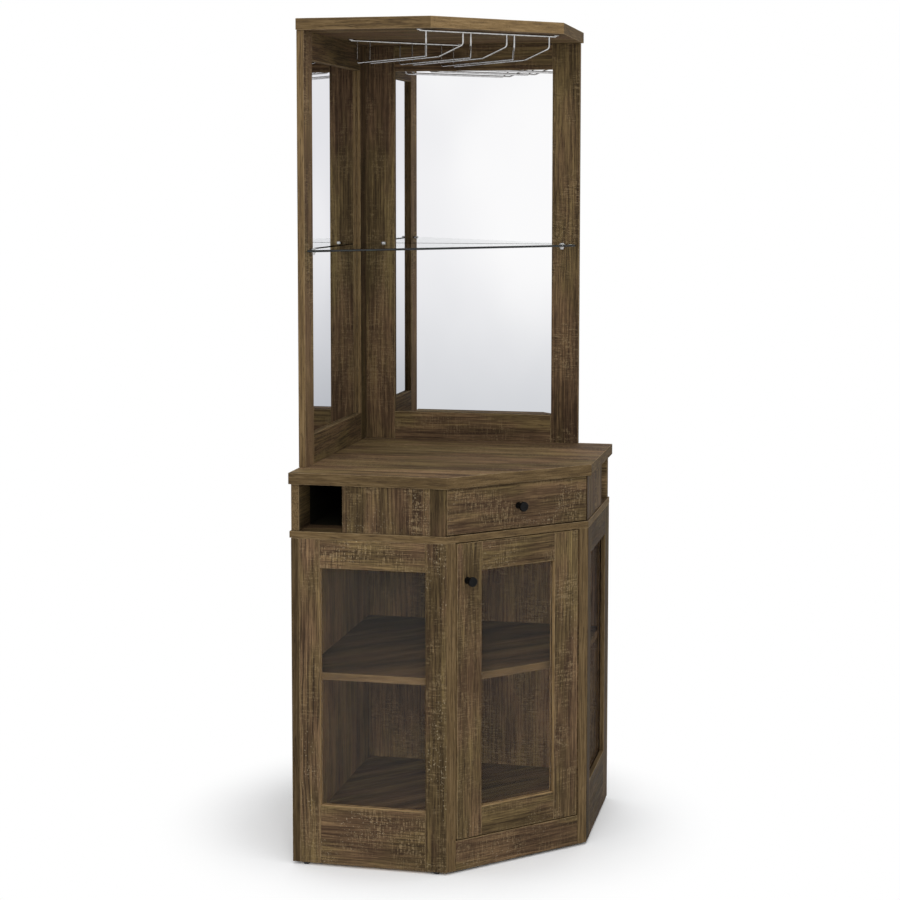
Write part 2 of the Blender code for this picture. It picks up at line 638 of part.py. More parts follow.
def welded(name, pieces):
    """Join overlapping pieces into one body, as a weld does."""
    body = pieces[0]
    for other in pieces[1:]:
        weld = body.modifiers.new("weld", "BOOLEAN")
        weld.operation = "UNION"
        weld.object = other
    bpy.context.view_layer.update()
    whole = bpy.data.meshes.new_from_object(body.evaluated_get(bpy.context.evaluated_depsgraph_get()))
    for piece in pieces:
        bpy.data.objects.remove(piece)
    mesh = bmesh.new()
    mesh.from_mesh(whole)
    spot = sum((vert.co for vert in mesh.verts), Vector()) / len(mesh.verts)
    bmesh.ops.translate(mesh, vec=-spot, verts=mesh.verts)
    return place(name, mesh, spot, CHROME)


def stemware_rack():
    """Six wires bent into three flared channels, welded to two cross bars that end in flat tabs."""
    bar = CAP_UNDERSIDE - FIT - BAR_DROP - BAR_RADIUS
    level, elbow = CAP_UNDERSIDE - RACK_DROP, CAP_UNDERSIDE - RACK_MOUTH_DROP
    reach = (RACK_CHANNELS - 1) / 2 * RACK_PITCH
    pieces = []
    for depth, gap in ((RACK_FRONT, RACK_MOUTH), (RACK_REAR, RACK_SLOT)):
        end = reach + gap / 2 + RACK_BAR_END
        pieces.append(wire([front_point(-end, depth, bar), front_point(end, depth, bar)], BAR_RADIUS))
        for hand in (-1, 1):
            first, near = end - TAB_LAP, depth - TAB_WIDTH / 2
            corners = [front_point(hand * across, out, CAP_UNDERSIDE - FIT - TAB_THICKNESS)
                       for across, out in box_outline(first, first + TAB_LENGTH, near, near + TAB_WIDTH)]
            tab = prism("tab", corners, Vector((0, 0, TAB_THICKNESS)), CHROME, ease=TAB_THICKNESS / 8)
            pieces.append(tab)
    for channel in range(RACK_CHANNELS):
        middle = (channel - (RACK_CHANNELS - 1) / 2) * RACK_PITCH
        for hand in (-1, 1):
            mouth, slot = middle + hand * RACK_MOUTH / 2, middle + hand * RACK_SLOT / 2
            bends = [front_point(mouth, RACK_FRONT, bar), front_point(mouth, RACK_FRONT, elbow),
                     front_point(slot, RACK_FRONT - RACK_MOUTH_LENGTH, level),
                     front_point(slot, RACK_REAR, level), front_point(slot, RACK_REAR, bar)]
            pieces.append(wire(bent_line(bends, RACK_BEND), WIRE_RADIUS))
    shade_round(welded("stemware_rack", pieces))


stemware_rack()


def glides():
    """Round black glides under the side frames and the rear corner."""
    middle = BASE_LENGTH - BOARD / 2
    rear, front = BACK_FACE + GLIDE_FROM_BACK_BOARD, BASE_END - GLIDE_FROM_FRONT
    spots = [("left_rear", "left", rear, middle), ("left_front", "left", front, middle),
             ("right_front", "right", front, middle), ("right_rear", "right", rear, middle),
             ("corner", "left", WALL_GAP + BOARD / 2, WALL_GAP + GLIDE_FROM_CORNER)]
    tall = GLIDE_HEIGHT - FIT
    for name, side, along, out in spots:
        mesh = bmesh.new()
        bmesh.ops.create_cone(mesh, cap_ends=True, segments=ROD_SEGMENTS, radius1=GLIDE_TIP_RADIUS,
                              radius2=GLIDE_RADIUS, depth=tall, matrix=Matrix.Translation((0, 0, tall / 2)))
        shade_round(place("floor_glide_" + name, mesh, wall_point(side, along, out, 0), BLACK))


glides()
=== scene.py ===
# %% [markdown]
# # A corner bar cabinet, dressed for a studio picture
#
# The boards, glass and hardware come in as a fixed frame of solids. This lesson
# gives them their surfaces, models the small turned and bent pieces with more
# care, and sets up floor, light and camera. Lengths are in metres, the door
# faces -Y and the room's corner is at +Y.

import math

import bmesh
import bpy
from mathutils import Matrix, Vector


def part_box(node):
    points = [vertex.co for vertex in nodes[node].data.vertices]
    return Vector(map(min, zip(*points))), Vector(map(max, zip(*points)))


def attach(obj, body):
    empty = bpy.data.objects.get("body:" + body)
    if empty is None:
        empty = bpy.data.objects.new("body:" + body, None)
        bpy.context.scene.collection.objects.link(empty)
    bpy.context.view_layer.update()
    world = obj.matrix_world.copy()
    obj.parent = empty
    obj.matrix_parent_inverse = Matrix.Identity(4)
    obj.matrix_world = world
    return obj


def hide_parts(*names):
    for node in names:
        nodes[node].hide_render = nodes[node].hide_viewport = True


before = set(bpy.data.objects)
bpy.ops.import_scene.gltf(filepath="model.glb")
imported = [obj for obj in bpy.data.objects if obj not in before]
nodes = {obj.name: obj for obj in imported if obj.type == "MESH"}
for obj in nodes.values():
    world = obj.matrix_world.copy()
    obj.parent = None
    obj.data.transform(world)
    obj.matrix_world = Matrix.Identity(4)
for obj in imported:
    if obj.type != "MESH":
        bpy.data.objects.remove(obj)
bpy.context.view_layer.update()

# %% [markdown]
# ## Where things are
#
# Two walls meet at 90 degrees in the room's corner. The corner's place on Y is
# read from the counter, which reaches into it, so no size is typed twice.

# %% Plan directions
UP = Vector((0, 0, 1))
FRONT = Vector((0, -1, 0))
RIGHT_WALL = Vector((1, -1, 0)).normalized()
LEFT_WALL = Vector((-1, -1, 0)).normalized()
CORNER = Vector((0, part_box("counter_top")[1].y, 0))


def span(name, direction):
    """Where a frame piece starts and ends along a direction, from the room's corner."""
    places = [direction.dot(vertex.co - CORNER) for vertex in nodes[name].data.vertices]
    return min(places), max(places)


print("base: length along a wall", round(span("mid_board", RIGHT_WALL)[1], 4), "m")

# %% [markdown]
# ## Small helpers for shaders
#
# A material is a graph of nodes. These helpers add and wire one node in one
# call, so that a recipe reads like a list of steps. Places and normals are read
# in the object's own space, so a pattern stays on its board when the door opens.


# %% Shader helpers
def fill(tree, node, **sockets):
    """Fill or link a node's inputs, each by its name or its number."""
    for key, value in sockets.items():
        socket = node.inputs[int(key[1:])] if key[1:].isdigit() else node.inputs[key.replace("_", " ")]
        if isinstance(value, bpy.types.NodeSocket):
            tree.links.new(value, socket)
        else:
            socket.default_value = value
    return node


def add(tree, kind, settings=None, **sockets):
    """Add one shader node, set its options and fill its inputs."""
    node = tree.nodes.new("ShaderNode" + kind)
    for key, value in (settings or {}).items():
        setattr(node, key, value)
    return fill(tree, node, **sockets)


def sums(tree, operation, first, *others):
    """Carry one operation through a row of values."""
    for other in others:
        first = add(tree, "Math", {"operation": operation}, _0=first, _1=other).outputs[0]
    return first


def total(tree, *values):
    """The sum of a row of values."""
    return sums(tree, "ADD", *values)


def product(tree, *values):
    """A row of values multiplied."""
    return sums(tree, "MULTIPLY", *values)


def placed(tree, kind="Object"):
    """The spot's place on its object, or with "Normal" the way its face looks."""
    return add(tree, "TexCoord").outputs[kind]


def vector_sum(tree, operation, first, second):
    """Two vectors taken together, part by part."""
    return add(tree, "VectorMath", {"operation": operation}, _0=first, _1=second).outputs[0]


def reach(tree, vector, direction):
    """How far a vector reaches along a direction."""
    return add(tree, "VectorMath", {"operation": "DOT_PRODUCT"}, _0=vector,
               _1=tuple(direction)).outputs["Value"]


def facing(tree, direction):
    """1 for a face that looks straight along a direction, -1 for the other way."""
    return reach(tree, placed(tree, "Normal"), direction)


def parts_of(tree, vector):
    """A vector's X, Y and Z."""
    return add(tree, "SeparateXYZ", None, Vector=vector).outputs


def noise(tree, vector, scale, detail=2.0, roughness=0.5):
    """Noise, with a number of cells per metre along X, Y and Z."""
    stretched = vector_sum(tree, "MULTIPLY", vector, scale)
    return add(tree, "TexNoise", None, Vector=stretched, Scale=1.0, Detail=detail,
               Roughness=roughness).outputs["Fac"]


def remap(tree, value, low, high, bottom=0.0, top=1.0):
    """Stretch the values from low to high over bottom to top, with soft ends."""
    return add(tree, "MapRange", {"interpolation_type": "SMOOTHSTEP"}, Value=value, From_Min=low,
               From_Max=high, To_Min=bottom, To_Max=top).outputs["Result"]


def blend(tree, factor, first, second, kind="MIX"):
    """One colour laid over another."""
    return add(tree, "Mix", {"data_type": "RGBA", "blend_type": kind},
               _0=factor, _6=first, _7=second).outputs[2]


def pick_value(tree, factor, first, second):
    """One number or the other, by a factor."""
    return add(tree, "Mix", {"data_type": "FLOAT"}, _0=factor, _2=first, _3=second).outputs[0]


def grey(tree, value):
    """A number as a grey colour."""
    return add(tree, "CombineXYZ", None, X=value, Y=value, Z=value).outputs[0]


def tinted(tree, colour, tint):
    """A colour multiplied by another."""
    return blend(tree, 1.0, colour, tint, "MULTIPLY")


def new_material(name):
    """A new material, its tree and its Principled shader."""
    material = bpy.data.materials.new(name)
    material.use_nodes = True
    return material, material.node_tree, material.node_tree.nodes["Principled BSDF"]


def either_shader(tree, factor, first, second, output):
    """Send one shader or the other to an output, by a factor."""
    both = add(tree, "MixShader", None, _0=factor, _1=first.outputs[0], _2=second.outputs[0])
    fill(tree, output, Surface=both.outputs[0])


# %% [markdown]
# ## Rustic oak
#
# The boards are chipboard under a printed and pressed oak skin: bands of tone
# along the board, streaks and fibres, wavy figure lines, and the marks of a
# coarse saw across the grain. A picture of oak would blur close up and repeat
# itself, so the skin is made from noise at its real sizes. One node group holds
# the recipe, and each board gives it its own inputs:
#
# - `Turn` and `Upright`: the way it faces, and whether its grain stands
# - `Tone`: how pale it is, on some boards also painted light and shade, and `Seed`: its own part of the
#   pattern
# - `Marks`, `Flecks`, `Figure`: how much saw mark, bare spot and wavy line
# - `Slab`: 1 if it lies flat, `Mitred`: 1 if its upright arrises are joints
# - `Tape`, `Diagonal`: the tone of its square and slanting cut edges, 0 for no
#   tape, above 1 a painted highlight, and `Reverse`: the tone of its back beside its front

# %% The colours and inputs of the oak skin
OAK_DARK = (0.042, 0.027, 0.016, 1)
OAK_MIDDLE = (0.098, 0.065, 0.036, 1)
OAK_PALE = (0.190, 0.130, 0.066, 1)
OAK_PORE = (0.024, 0.016, 0.010, 1)
OAK_SCRAPE = (0.290, 0.210, 0.115, 1)
OAK_FLECK = (0.440, 0.360, 0.240, 1)
EDGE_TAPE = (0.108, 0.070, 0.032, 1)
REDDER, MORE_OLIVE = (1.05, 0.965, 0.97, 1), (0.99, 1.015, 0.86, 1)
OAK_INPUTS = {"Turn": 0.0, "Upright": 0.0, "Seed": 0.0, "Tone": 1.0, "Marks": 1.0, "Flecks": 0.3, "Slab": 0.0,
              "Mitred": 0.0, "Tape": 1.0, "Figure": 0.35, "Diagonal": 1.0, "Reverse": 1.0}
print("oak inputs:", ", ".join(OAK_INPUTS))

# %% [markdown]
# Grain runs along a board, whichever way the board stands. A Mapping node on
# each board could turn the pattern, but it is simpler to turn the spot once, in
# the shared recipe: until its board faces the front, and tipped if the grain
# stands, so that the grain always runs along X. The seed then carries the spot
# to a part of the pattern that no other board uses.

# %% Place on the grain
SEED_STEP = (1.37, 0.71, 2.30)


def grain_place(tree, given):
    """The spot, turned so that the grain runs along X, and moved by the seed."""
    turned_spot = add(tree, "VectorRotate", {"rotation_type": "Z_AXIS"}, Vector=placed(tree),
                      Angle=given["Turn"])
    grain = add(tree, "VectorRotate", {"rotation_type": "Y_AXIS"}, Vector=turned_spot.outputs[0],
                Angle=given["Upright"])
    shift = add(tree, "VectorMath", {"operation": "SCALE"}, _0=SEED_STEP, Scale=given["Seed"])
    return vector_sum(tree, "ADD", grain.outputs[0], shift.outputs[0])


# %% [markdown]
# Wood varies at many sizes at once, and one noise has only one size. So the
# tone is the sum of five layers, each longer along the grain than across it,
# from bands 4 cm wide down to single fibres. A slab has planks of different
# tone besides. The sum picks a colour between dark and pale oak, which is then
# a little redder here and more olive there.

# %% Tone of the oak
# Cells per metre along and across, detail, roughness, part of the noise, share of the tone
LAYERS = {
    "bands": (1.9, 26, 3, 0.55, (0.41, 0.59), (0.02, 0.26)),
    "blotches": (8, 15, 3, 0.62, (0.38, 0.62), (0.0, 0.12)),
    "streaks": (5, 190, 3, 0.62, (0.38, 0.62), (0.0, 0.14)),
    "lines": (9, 330, 2, 0.6, (0.42, 0.58), (0.0, 0.28)),
    "fibres": (32, 760, 2, 0.6, (0.36, 0.64), (0.0, 0.20)),
}
PLANK_TONE = 0.11
DARK_AT, MIDDLE_AT, PALE_AT = 0.16, 0.52, 0.90


def oak_tone(tree, spot, given):
    """The bare oak's colour, and its layers of noise by name."""
    layers = {name: noise(tree, spot, (along, across, across), detail, roughness)
              for name, (along, across, detail, roughness, part, share) in LAYERS.items()}
    planks = remap(tree, noise(tree, spot, (1.5, 40, 40)), 0.42, 0.58, -PLANK_TONE, PLANK_TONE)
    tone = total(tree, *(remap(tree, layers[name], *row[4], *row[5]) for name, row in LAYERS.items()),
                 product(tree, planks, given["Slab"]))
    ramp = add(tree, "ValToRGB", None, Fac=tone)
    first, last = ramp.color_ramp.elements
    first.position, first.color = DARK_AT, OAK_DARK
    last.position, last.color = PALE_AT, OAK_PALE
    ramp.color_ramp.elements.new(MIDDLE_AT).color = OAK_MIDDLE
    hue = remap(tree, noise(tree, spot, (4, 14, 14), 3, 0.6), 0.40, 0.62)
    return tinted(tree, ramp.outputs["Color"], blend(tree, hue, REDDER, MORE_OLIVE)), layers


# %% [markdown]
# Over the tone lie the marks: wavy figure lines, which are a sine pushed about
# by noise, pores as short dark ticks, saw marks of pale scrapes and dark teeth
# across the grain, and bare flecks. They could be drawn in a picture, but noise
# that is cut off at a level gives the same and never repeats. Figure, saw marks
# and flecks gather in patches, as on real boards.

# %% Marks on the oak
RING_RADIANS, RING_WANDER = 620, 40  # a figure line every 10 mm, pushed about by up to 6 of them


def figure_lines(tree, spot, share):
    """Wavy dark lines along the grain, only here and there."""
    wander = noise(tree, spot, (2.6, 9, 9))
    across = parts_of(tree, spot)
    rings = product(tree, total(tree, across["Y"], across["Z"]), RING_RADIANS)
    rings = sums(tree, "SINE", total(tree, rings, product(tree, wander, RING_WANDER)), 0.0)
    some = remap(tree, noise(tree, spot, (3, 18, 18), 1), 0.42, 0.54)
    return product(tree, remap(tree, rings, 0.10, 1.0), some, share)


def saw_marks(tree, spot, share):
    """Pale scrapes, and dark teeth that also show a little outside the patches."""
    patches = product(tree, remap(tree, noise(tree, spot, (9, 14, 14), 3, 0.6), 0.42, 0.60), share)
    cuts = remap(tree, noise(tree, spot, (330, 40, 40), 1), 0.48, 0.58)
    ragged = remap(tree, noise(tree, spot, (120, 380, 380), 2, 0.6), 0.44, 0.56)
    teeth = remap(tree, noise(tree, spot, (320, 42, 42), 1), 0.52, 0.62)
    dark = product(tree, teeth, total(tree, product(tree, patches, 0.8), 0.2), share)
    return product(tree, cuts, ragged, patches), dark


def bare_flecks(tree, spot, share):
    """Small spots where the skin is rubbed through."""
    flecks = remap(tree, noise(tree, spot, (260, 330, 330), 1), 0.66, 0.72)
    where = remap(tree, noise(tree, spot, (6, 10, 10)), 0.50, 0.62)
    return product(tree, flecks, where, share)


def pore_ticks(tree, spot):
    """Short dark ticks along the grain."""
    return remap(tree, noise(tree, spot, (45, 620, 620), 1), 0.62, 0.70, 0.0, 0.6)


# %% [markdown]
# Cut edges wear a tape that is plainer than the skin. The edges' faces could
# have a second material, picked by hand, but the way a face looks tells as
# much: the broad faces look up or down on a slab, and to the front or back on
# any other turned board, and all others are edges. A tape tone above 1 paints a
# highlight along an edge. The upper arrises and the corners are rubbed paler by
# hands and cloths, and the paler colour also stands as a painted highlight on
# the eased edges.

# %% Edges of the oak
EASED, BROADLY, SQUARELY = 0.3, 0.8, 0.95  # parts of a normal


def own_normal(tree, given):
    """The way a face looks once its board is turned to the front."""
    return add(tree, "VectorRotate", {"rotation_type": "Z_AXIS"}, Vector=placed(tree, "Normal"),
               Angle=given["Turn"]).outputs[0]


def edge_tape(tree, spot, given, look, layers, pores):
    """The tape's colour, with a painted highlight where its tone is above 1, and where it lies."""
    broad = pick_value(tree, given["Slab"], look["Y"], look["Z"])
    taped = sums(tree, "GREATER_THAN", given["Tape"], 0.01)
    where = product(tree, sums(tree, "LESS_THAN", broad, BROADLY), taped)
    along = pick_value(tree, given["Slab"], layers["lines"], noise(tree, spot, (16, 16, 200), 3, 0.65))
    tape = blend(tree, remap(tree, along, 0.50, 0.64, 0.0, 0.55), EDGE_TAPE, OAK_DARK)
    tape = blend(tree, remap(tree, along, 0.48, 0.36, 0.0, 0.50), tape, OAK_PALE)
    tape = blend(tree, remap(tree, layers["fibres"], 0.52, 0.66, 0.0, 0.35), tape, OAK_PALE)
    tape = blend(tree, pores, tape, OAK_PORE)
    square = sums(tree, "GREATER_THAN", sums(tree, "MAXIMUM", look["X"], look["Y"], look["Z"]), SQUARELY)
    return tinted(tree, tape, grey(tree, pick_value(tree, square, given["Diagonal"], given["Tape"]))), where


def rubbed_and_highlit_arrises(tree, spot, given, look):
    """How rubbed and highlit the eased arrises are: real rubbing and a painted highlight."""
    # Painted highlight, partly real rubbing: upper arrises and corners turn paler
    upper = product(tree, sums(tree, "GREATER_THAN", look["Z"], EASED),
                    sums(tree, "LESS_THAN", look["Z"], SQUARELY))
    corner = sums(tree, "GREATER_THAN", sums(tree, "MINIMUM", look["X"], look["Y"]), EASED)
    corner = product(tree, corner, sums(tree, "SUBTRACT", 1.0, given["Mitred"]))
    worn_and_highlit = remap(tree, noise(tree, spot, (45, 60, 60)), 0.35, 0.62, 0.15, 0.75)
    return product(tree, sums(tree, "MAXIMUM", upper, corner), worn_and_highlit)


# %% [markdown]
# A node group is one recipe for all the boards, so what is changed here changes
# everywhere. It lays the tone first, then the marks, the board's own tone, its
# tape and the rubbed arrises with their painted highlight. The skin is pressed,
# so lines and scrapes stand proud and teeth and pores lie deep, within 0.6 mm.

# %% The oak node group
GRAIN_DEPTH = 0.0006


def build_oak():
    """The shared recipe as a node group."""
    tree = bpy.data.node_groups.new("rustic_oak", "ShaderNodeTree")
    for name, value in OAK_INPUTS.items():
        tree.interface.new_socket(name, in_out="INPUT", socket_type="NodeSocketFloat").default_value = value
    for name, kind in (("Color", "Color"), ("Roughness", "Float"), ("Normal", "Vector")):
        tree.interface.new_socket(name, in_out="OUTPUT", socket_type="NodeSocket" + kind)
    given = tree.nodes.new("NodeGroupInput").outputs
    spot = grain_place(tree, given)
    colour, layers = oak_tone(tree, spot, given)
    pores, (pale, dark) = pore_ticks(tree, spot), saw_marks(tree, spot, given["Marks"])
    for factor, laid in ((figure_lines(tree, spot, given["Figure"]), OAK_PORE), (pores, OAK_PORE),
                         (product(tree, dark, 0.36), OAK_PORE), (product(tree, pale, 0.42), OAK_SCRAPE),
                         (bare_flecks(tree, spot, given["Flecks"]), OAK_FLECK)):
        colour = blend(tree, factor, colour, laid)
    own = own_normal(tree, given)
    behind = sums(tree, "GREATER_THAN", parts_of(tree, own)["Y"], 0.5)
    look = parts_of(tree, add(tree, "VectorMath", {"operation": "ABSOLUTE"}, _0=own).outputs[0])
    tone = product(tree, given["Tone"], pick_value(tree, behind, 1.0, given["Reverse"]))
    tape, where = edge_tape(tree, spot, given, look, layers, pores)
    colour = blend(tree, where, tinted(tree, colour, grey(tree, tone)), tape)
    colour = blend(tree, rubbed_and_highlit_arrises(tree, spot, given, look), colour, OAK_SCRAPE)
    rough = total(tree, remap(tree, layers["streaks"], 0.3, 0.7, 0.60, 0.74), product(tree, pale, 0.12))
    height = total(tree, product(tree, layers["lines"], 0.5), product(tree, pale, 0.6))
    height = sums(tree, "SUBTRACT", height, product(tree, dark, 0.5), product(tree, pores, 0.5))
    bump = add(tree, "Bump", None, Strength=0.40, Distance=GRAIN_DEPTH, Height=height)
    fill(tree, tree.nodes.new("NodeGroupOutput"), Color=colour, Roughness=rough, Normal=bump.outputs[0])
    return tree


oak_group = build_oak()
print("oak group:", len(oak_group.nodes), "nodes")

# %% [markdown]
# Each board gets a material of its own, with one group node and its shader, so
# that its inputs can be set apart from the others'. The skin is matt.


# %% One material for each board
def oak(name, turn, upright, seed, tone=1.0, **more):
    """A board's own material."""
    material, tree, shader = new_material("oak_" + name)
    group = add(tree, "Group", {"node_tree": oak_group}, Turn=turn,
                Upright=math.pi / 2 if upright else 0.0, Seed=float(seed), Tone=tone, **more).outputs
    fill(tree, shader, Base_Color=group["Color"], Roughness=group["Roughness"], Normal=group["Normal"],
         Specular_IOR_Level=0.04)
    return material


def dress(piece, material):
    """Give a piece its finish."""
    piece.data.materials.clear()
    piece.data.materials.append(material)


# %% [markdown]
# The boards could be dressed one after the other, but a table shows them side
# by side. Each row gives the turn that brings a board's face round to -Y,
# whether its grain stands, its tone, and the inputs in which it differs. Some
# tones vary as the skins of a real set do, since they come in batches, and some
# are painted light and shade: the backs inside the lower case and the right
# niche's back board are paled as painted light, the right glazed frame is
# darkened as painted shade, and the two mirror frames' left and right tones
# differ as painted light and shade.

# %% Oak on the boards
EIGHTH = math.pi / 4
FACES_LEFT, FACES_RIGHT, FACES_FRONT, FACES_SIDE = EIGHTH, -EIGHTH, 0.0, math.pi / 2
# Painted shade: the right glazed frame's tone is this share of the left's
RIGHT_FRAME_SHADE_SHARE = 0.53
slab = {"Slab": 1.0, "Mitred": 1.0}
plain = {"Marks": 0.35, "Flecks": 0.0}
boards = {
    "counter_top": (FACES_LEFT, False, 1.42, {**slab, "Marks": 0.6, "Tape": 0.78, "Diagonal": 0.94,
                                              "Figure": 0.8}),
    "mid_board": (FACES_LEFT, False, 0.98, {**slab, **plain}),
    "cap_board": (FACES_LEFT, False, 1.12, {**slab, "Marks": 0.5, "Tape": 0.96, "Diagonal": 1.65}),
    "bottom_board": (FACES_FRONT, False, 1.25, {**slab, **plain}),
    "lower_shelf": (FACES_FRONT, False, 0.90, {**slab, **plain, "Tape": 1.1, "Diagonal": 1.2}),
    # Painted light: the backs inside the lower case are paled, and Reverse keeps their outer faces near their
    # own tone
    "lower_back_left": (FACES_RIGHT, True, 2.3, {"Reverse": 0.42, "Marks": 0.4, "Tape": 0.55}),
    "lower_back_right": (FACES_LEFT, True, 2.4, {"Reverse": 0.40, "Marks": 1.0, "Tape": 0.7}),
    "upper_back_left": (FACES_RIGHT, False, 0.75, plain),
    # Painted light: the right niche's back board is paled on its inner face
    "upper_back_right": (FACES_LEFT, False, 1.7, {**plain, "Reverse": 0.47}),
    "plinth_rail": (FACES_FRONT, False, 0.98, {"Mitred": 1.0, "Marks": 0.8}),
    "niche_wall_left": (FACES_RIGHT, False, 0.55, plain),
    "niche_wall_right": (FACES_LEFT, False, 0.55, plain),
    "drawer_front": (FACES_FRONT, False, 0.92, {"Marks": 1.2}),
    "drawer_side_left": (FACES_SIDE, False, 0.9, plain),
    "drawer_side_right": (FACES_SIDE, False, 0.9, plain),
    "drawer_back": (FACES_FRONT, False, 0.9, plain),
    # Door tape tones above 1 paint a highlight along the pane's edges
    "door_hinge_stile": (FACES_FRONT, True, 1.06, {"Marks": 0.9, "Tape": 2.2}),
    "door_latch_stile": (FACES_FRONT, True, 0.98, {"Marks": 0.6, "Tape": 1.9}),
    "door_top_rail": (FACES_FRONT, False, 0.84, {"Marks": 1.1, "Tape": 1.9}),
    "door_bottom_rail": (FACES_FRONT, False, 0.92, {"Marks": 0.7, "Tape": 3.4}),
}
# The glazed frames share a tone and inputs, the right one darker as painted shade; the mirror frames have a
# left and a right tone, which differ as painted light and shade
# Glazed frames' tape tones above 1 paint a highlight along the panes' edges
glazed = {"rear_stile": (1.2, {"Flecks": 0.4, "Figure": 0.8, "Marks": 0.5, "Tape": 3.1}),
          "top_rail": (1.08, {"Flecks": 0.5, "Marks": 1.3}),
          "front_stile": (0.82, {"Flecks": 0.6, "Mitred": 1.0}),
          "bottom_rail": (1.1, {"Flecks": 0.4, "Tape": 3.2})}
# Left and right tones: painted light and shade on the mirror frames
framed = {"corner_stile": (0.64, 1.05), "outer_stile": (1.45, 0.90), "top_rail": (0.85, 0.90),
          "bottom_rail": (0.92, 0.98)}
for side, turn in (("left", FACES_LEFT), ("right", FACES_RIGHT)):
    for part, (tone, more) in glazed.items():
        if side == "right":
            tone, more = RIGHT_FRAME_SHADE_SHARE * tone, {**more, "Tape": 1.0}
        boards[f"{side}_frame_{part}"] = (turn, "stile" in part, tone, {"Tape": 1.9, **more})
    for part, tones in framed.items():
        more = {"Flecks": 0.0, "Tape": 1.2, "Marks": 1.0 if part == "outer_stile" else 0.55}
        boards[f"hutch_{side}_{part}"] = (-turn, "stile" in part, tones[side == "right"], more)
for seed, (name, (turn, upright, tone, more)) in enumerate(boards.items(), 1):
    dress(nodes[name], oak(name, turn, upright, seed, tone, **more))
print("oak boards:", len(boards))

# %% [markdown]
# A bottle niche is oak at its mouth and black further in, with a sharp step.
# The black is painted shade, standing for the dark deep in the niche. The step
# runs across six boards, so it is measured and not cut into them: the painted
# shade lies over a board's own colour where a face looks into the niche and is
# far enough in from the sides and the front.

# %% Painted shade in the niches
# Painted shade: beyond this depth the niche boards are drawn near black
NICHE_SHADE_START, NICHE_SHADE_BLUR = 0.085, 0.001
NICHE_SHADE_DARK, NICHE_SHADE_PALE = (0.009, 0.008, 0.0055, 1), (0.017, 0.015, 0.010, 1)


def depth_behind(tree, name, outward):
    """How far in from a frame piece's outermost face a spot lies."""
    face = span(name, outward)[1] + outward.dot(CORNER)
    return sums(tree, "SUBTRACT", face, reach(tree, placed(tree), outward))


def paint_niche_shade(name, inward):
    """Paint shade on a board where it faces into a niche, deeper than its mouth."""
    tree = nodes[name].data.materials[0].node_tree
    colour = tree.nodes["Principled BSDF"].inputs["Base Color"]
    depth = sums(tree, "MINIMUM", *(depth_behind(tree, outer, way) for outer, way in (
        ("side_panel_left", LEFT_WALL), ("side_panel_right", RIGHT_WALL), ("drawer_front", FRONT))))
    # Painted shade: the near black colour of the niche's deep inside
    painted_niche_shade = blend(tree, noise(tree, placed(tree), (60, 60, 60), 3), NICHE_SHADE_DARK, NICHE_SHADE_PALE)
    where = product(tree, sums(tree, "GREATER_THAN", facing(tree, inward), 0.5),
                    remap(tree, depth, NICHE_SHADE_START - NICHE_SHADE_BLUR, NICHE_SHADE_START + NICHE_SHADE_BLUR))
    tree.links.new(blend(tree, where, colour.links[0].from_socket, painted_niche_shade), colour)


for name, inward in (("mid_board", UP), ("counter_top", -UP), ("upper_back_left", RIGHT_WALL),
                     ("upper_back_right", LEFT_WALL), ("niche_wall_left", -RIGHT_WALL),
                     ("niche_wall_right", -LEFT_WALL)):
    paint_niche_shade(name, inward)
print("niche shade painted from", NICHE_SHADE_START, "m in")

# %% [markdown]
# ## Glass and mirrors
#
# The panes are smoked brown and hardly reflect, which a low index of refraction
# gives. A slanting look passes through more glass, so the tint is raised to a
# power that grows with the slant, and a trace of haze stands for dust. Glass
# casts a dark shadow in a renderer, so rays that only carry light meet a clear
# tint instead, and the inside keeps its light.

# %% Glass
SLANT_LIMIT = 0.15


def tinted_glass(name, tint, edge, light_tint, index, flat, haze=0.0):
    """Tinted glass that looks along a direction."""
    material, tree, shader = new_material(name)
    place = placed(tree)
    rim = sums(tree, "LESS_THAN", sums(tree, "ABSOLUTE", facing(tree, flat), 0.0), 0.8)
    cloud = remap(tree, noise(tree, place, (5, 5, 4), 3), 0.3, 0.7, 0.97, 1.0)
    colour = tinted(tree, blend(tree, rim, tint, edge), grey(tree, cloud))
    slant = add(tree, "LayerWeight", None, Blend=0.5).outputs["Facing"]
    square_on = sums(tree, "MAXIMUM", sums(tree, "SUBTRACT", 1.0, slant), SLANT_LIMIT)
    path_length = sums(tree, "DIVIDE", 1.0, square_on)
    deeper = add(tree, "Gamma", None, Color=colour, Gamma=path_length).outputs[0]
    smears = remap(tree, noise(tree, place, (14, 14, 9), 4, 0.6), 0.45, 0.80, 0.0, 0.03)
    fill(tree, shader, Base_Color=deeper, Roughness=smears, Transmission_Weight=1.0 - haze, IOR=index)
    path = add(tree, "LightPath").outputs
    carries = sums(tree, "MAXIMUM", path["Is Shadow Ray"], path["Is Diffuse Ray"])
    clear = add(tree, "BsdfTransparent", None, Color=light_tint)
    either_shader(tree, carries, shader, clear, tree.nodes["Material Output"])
    return material


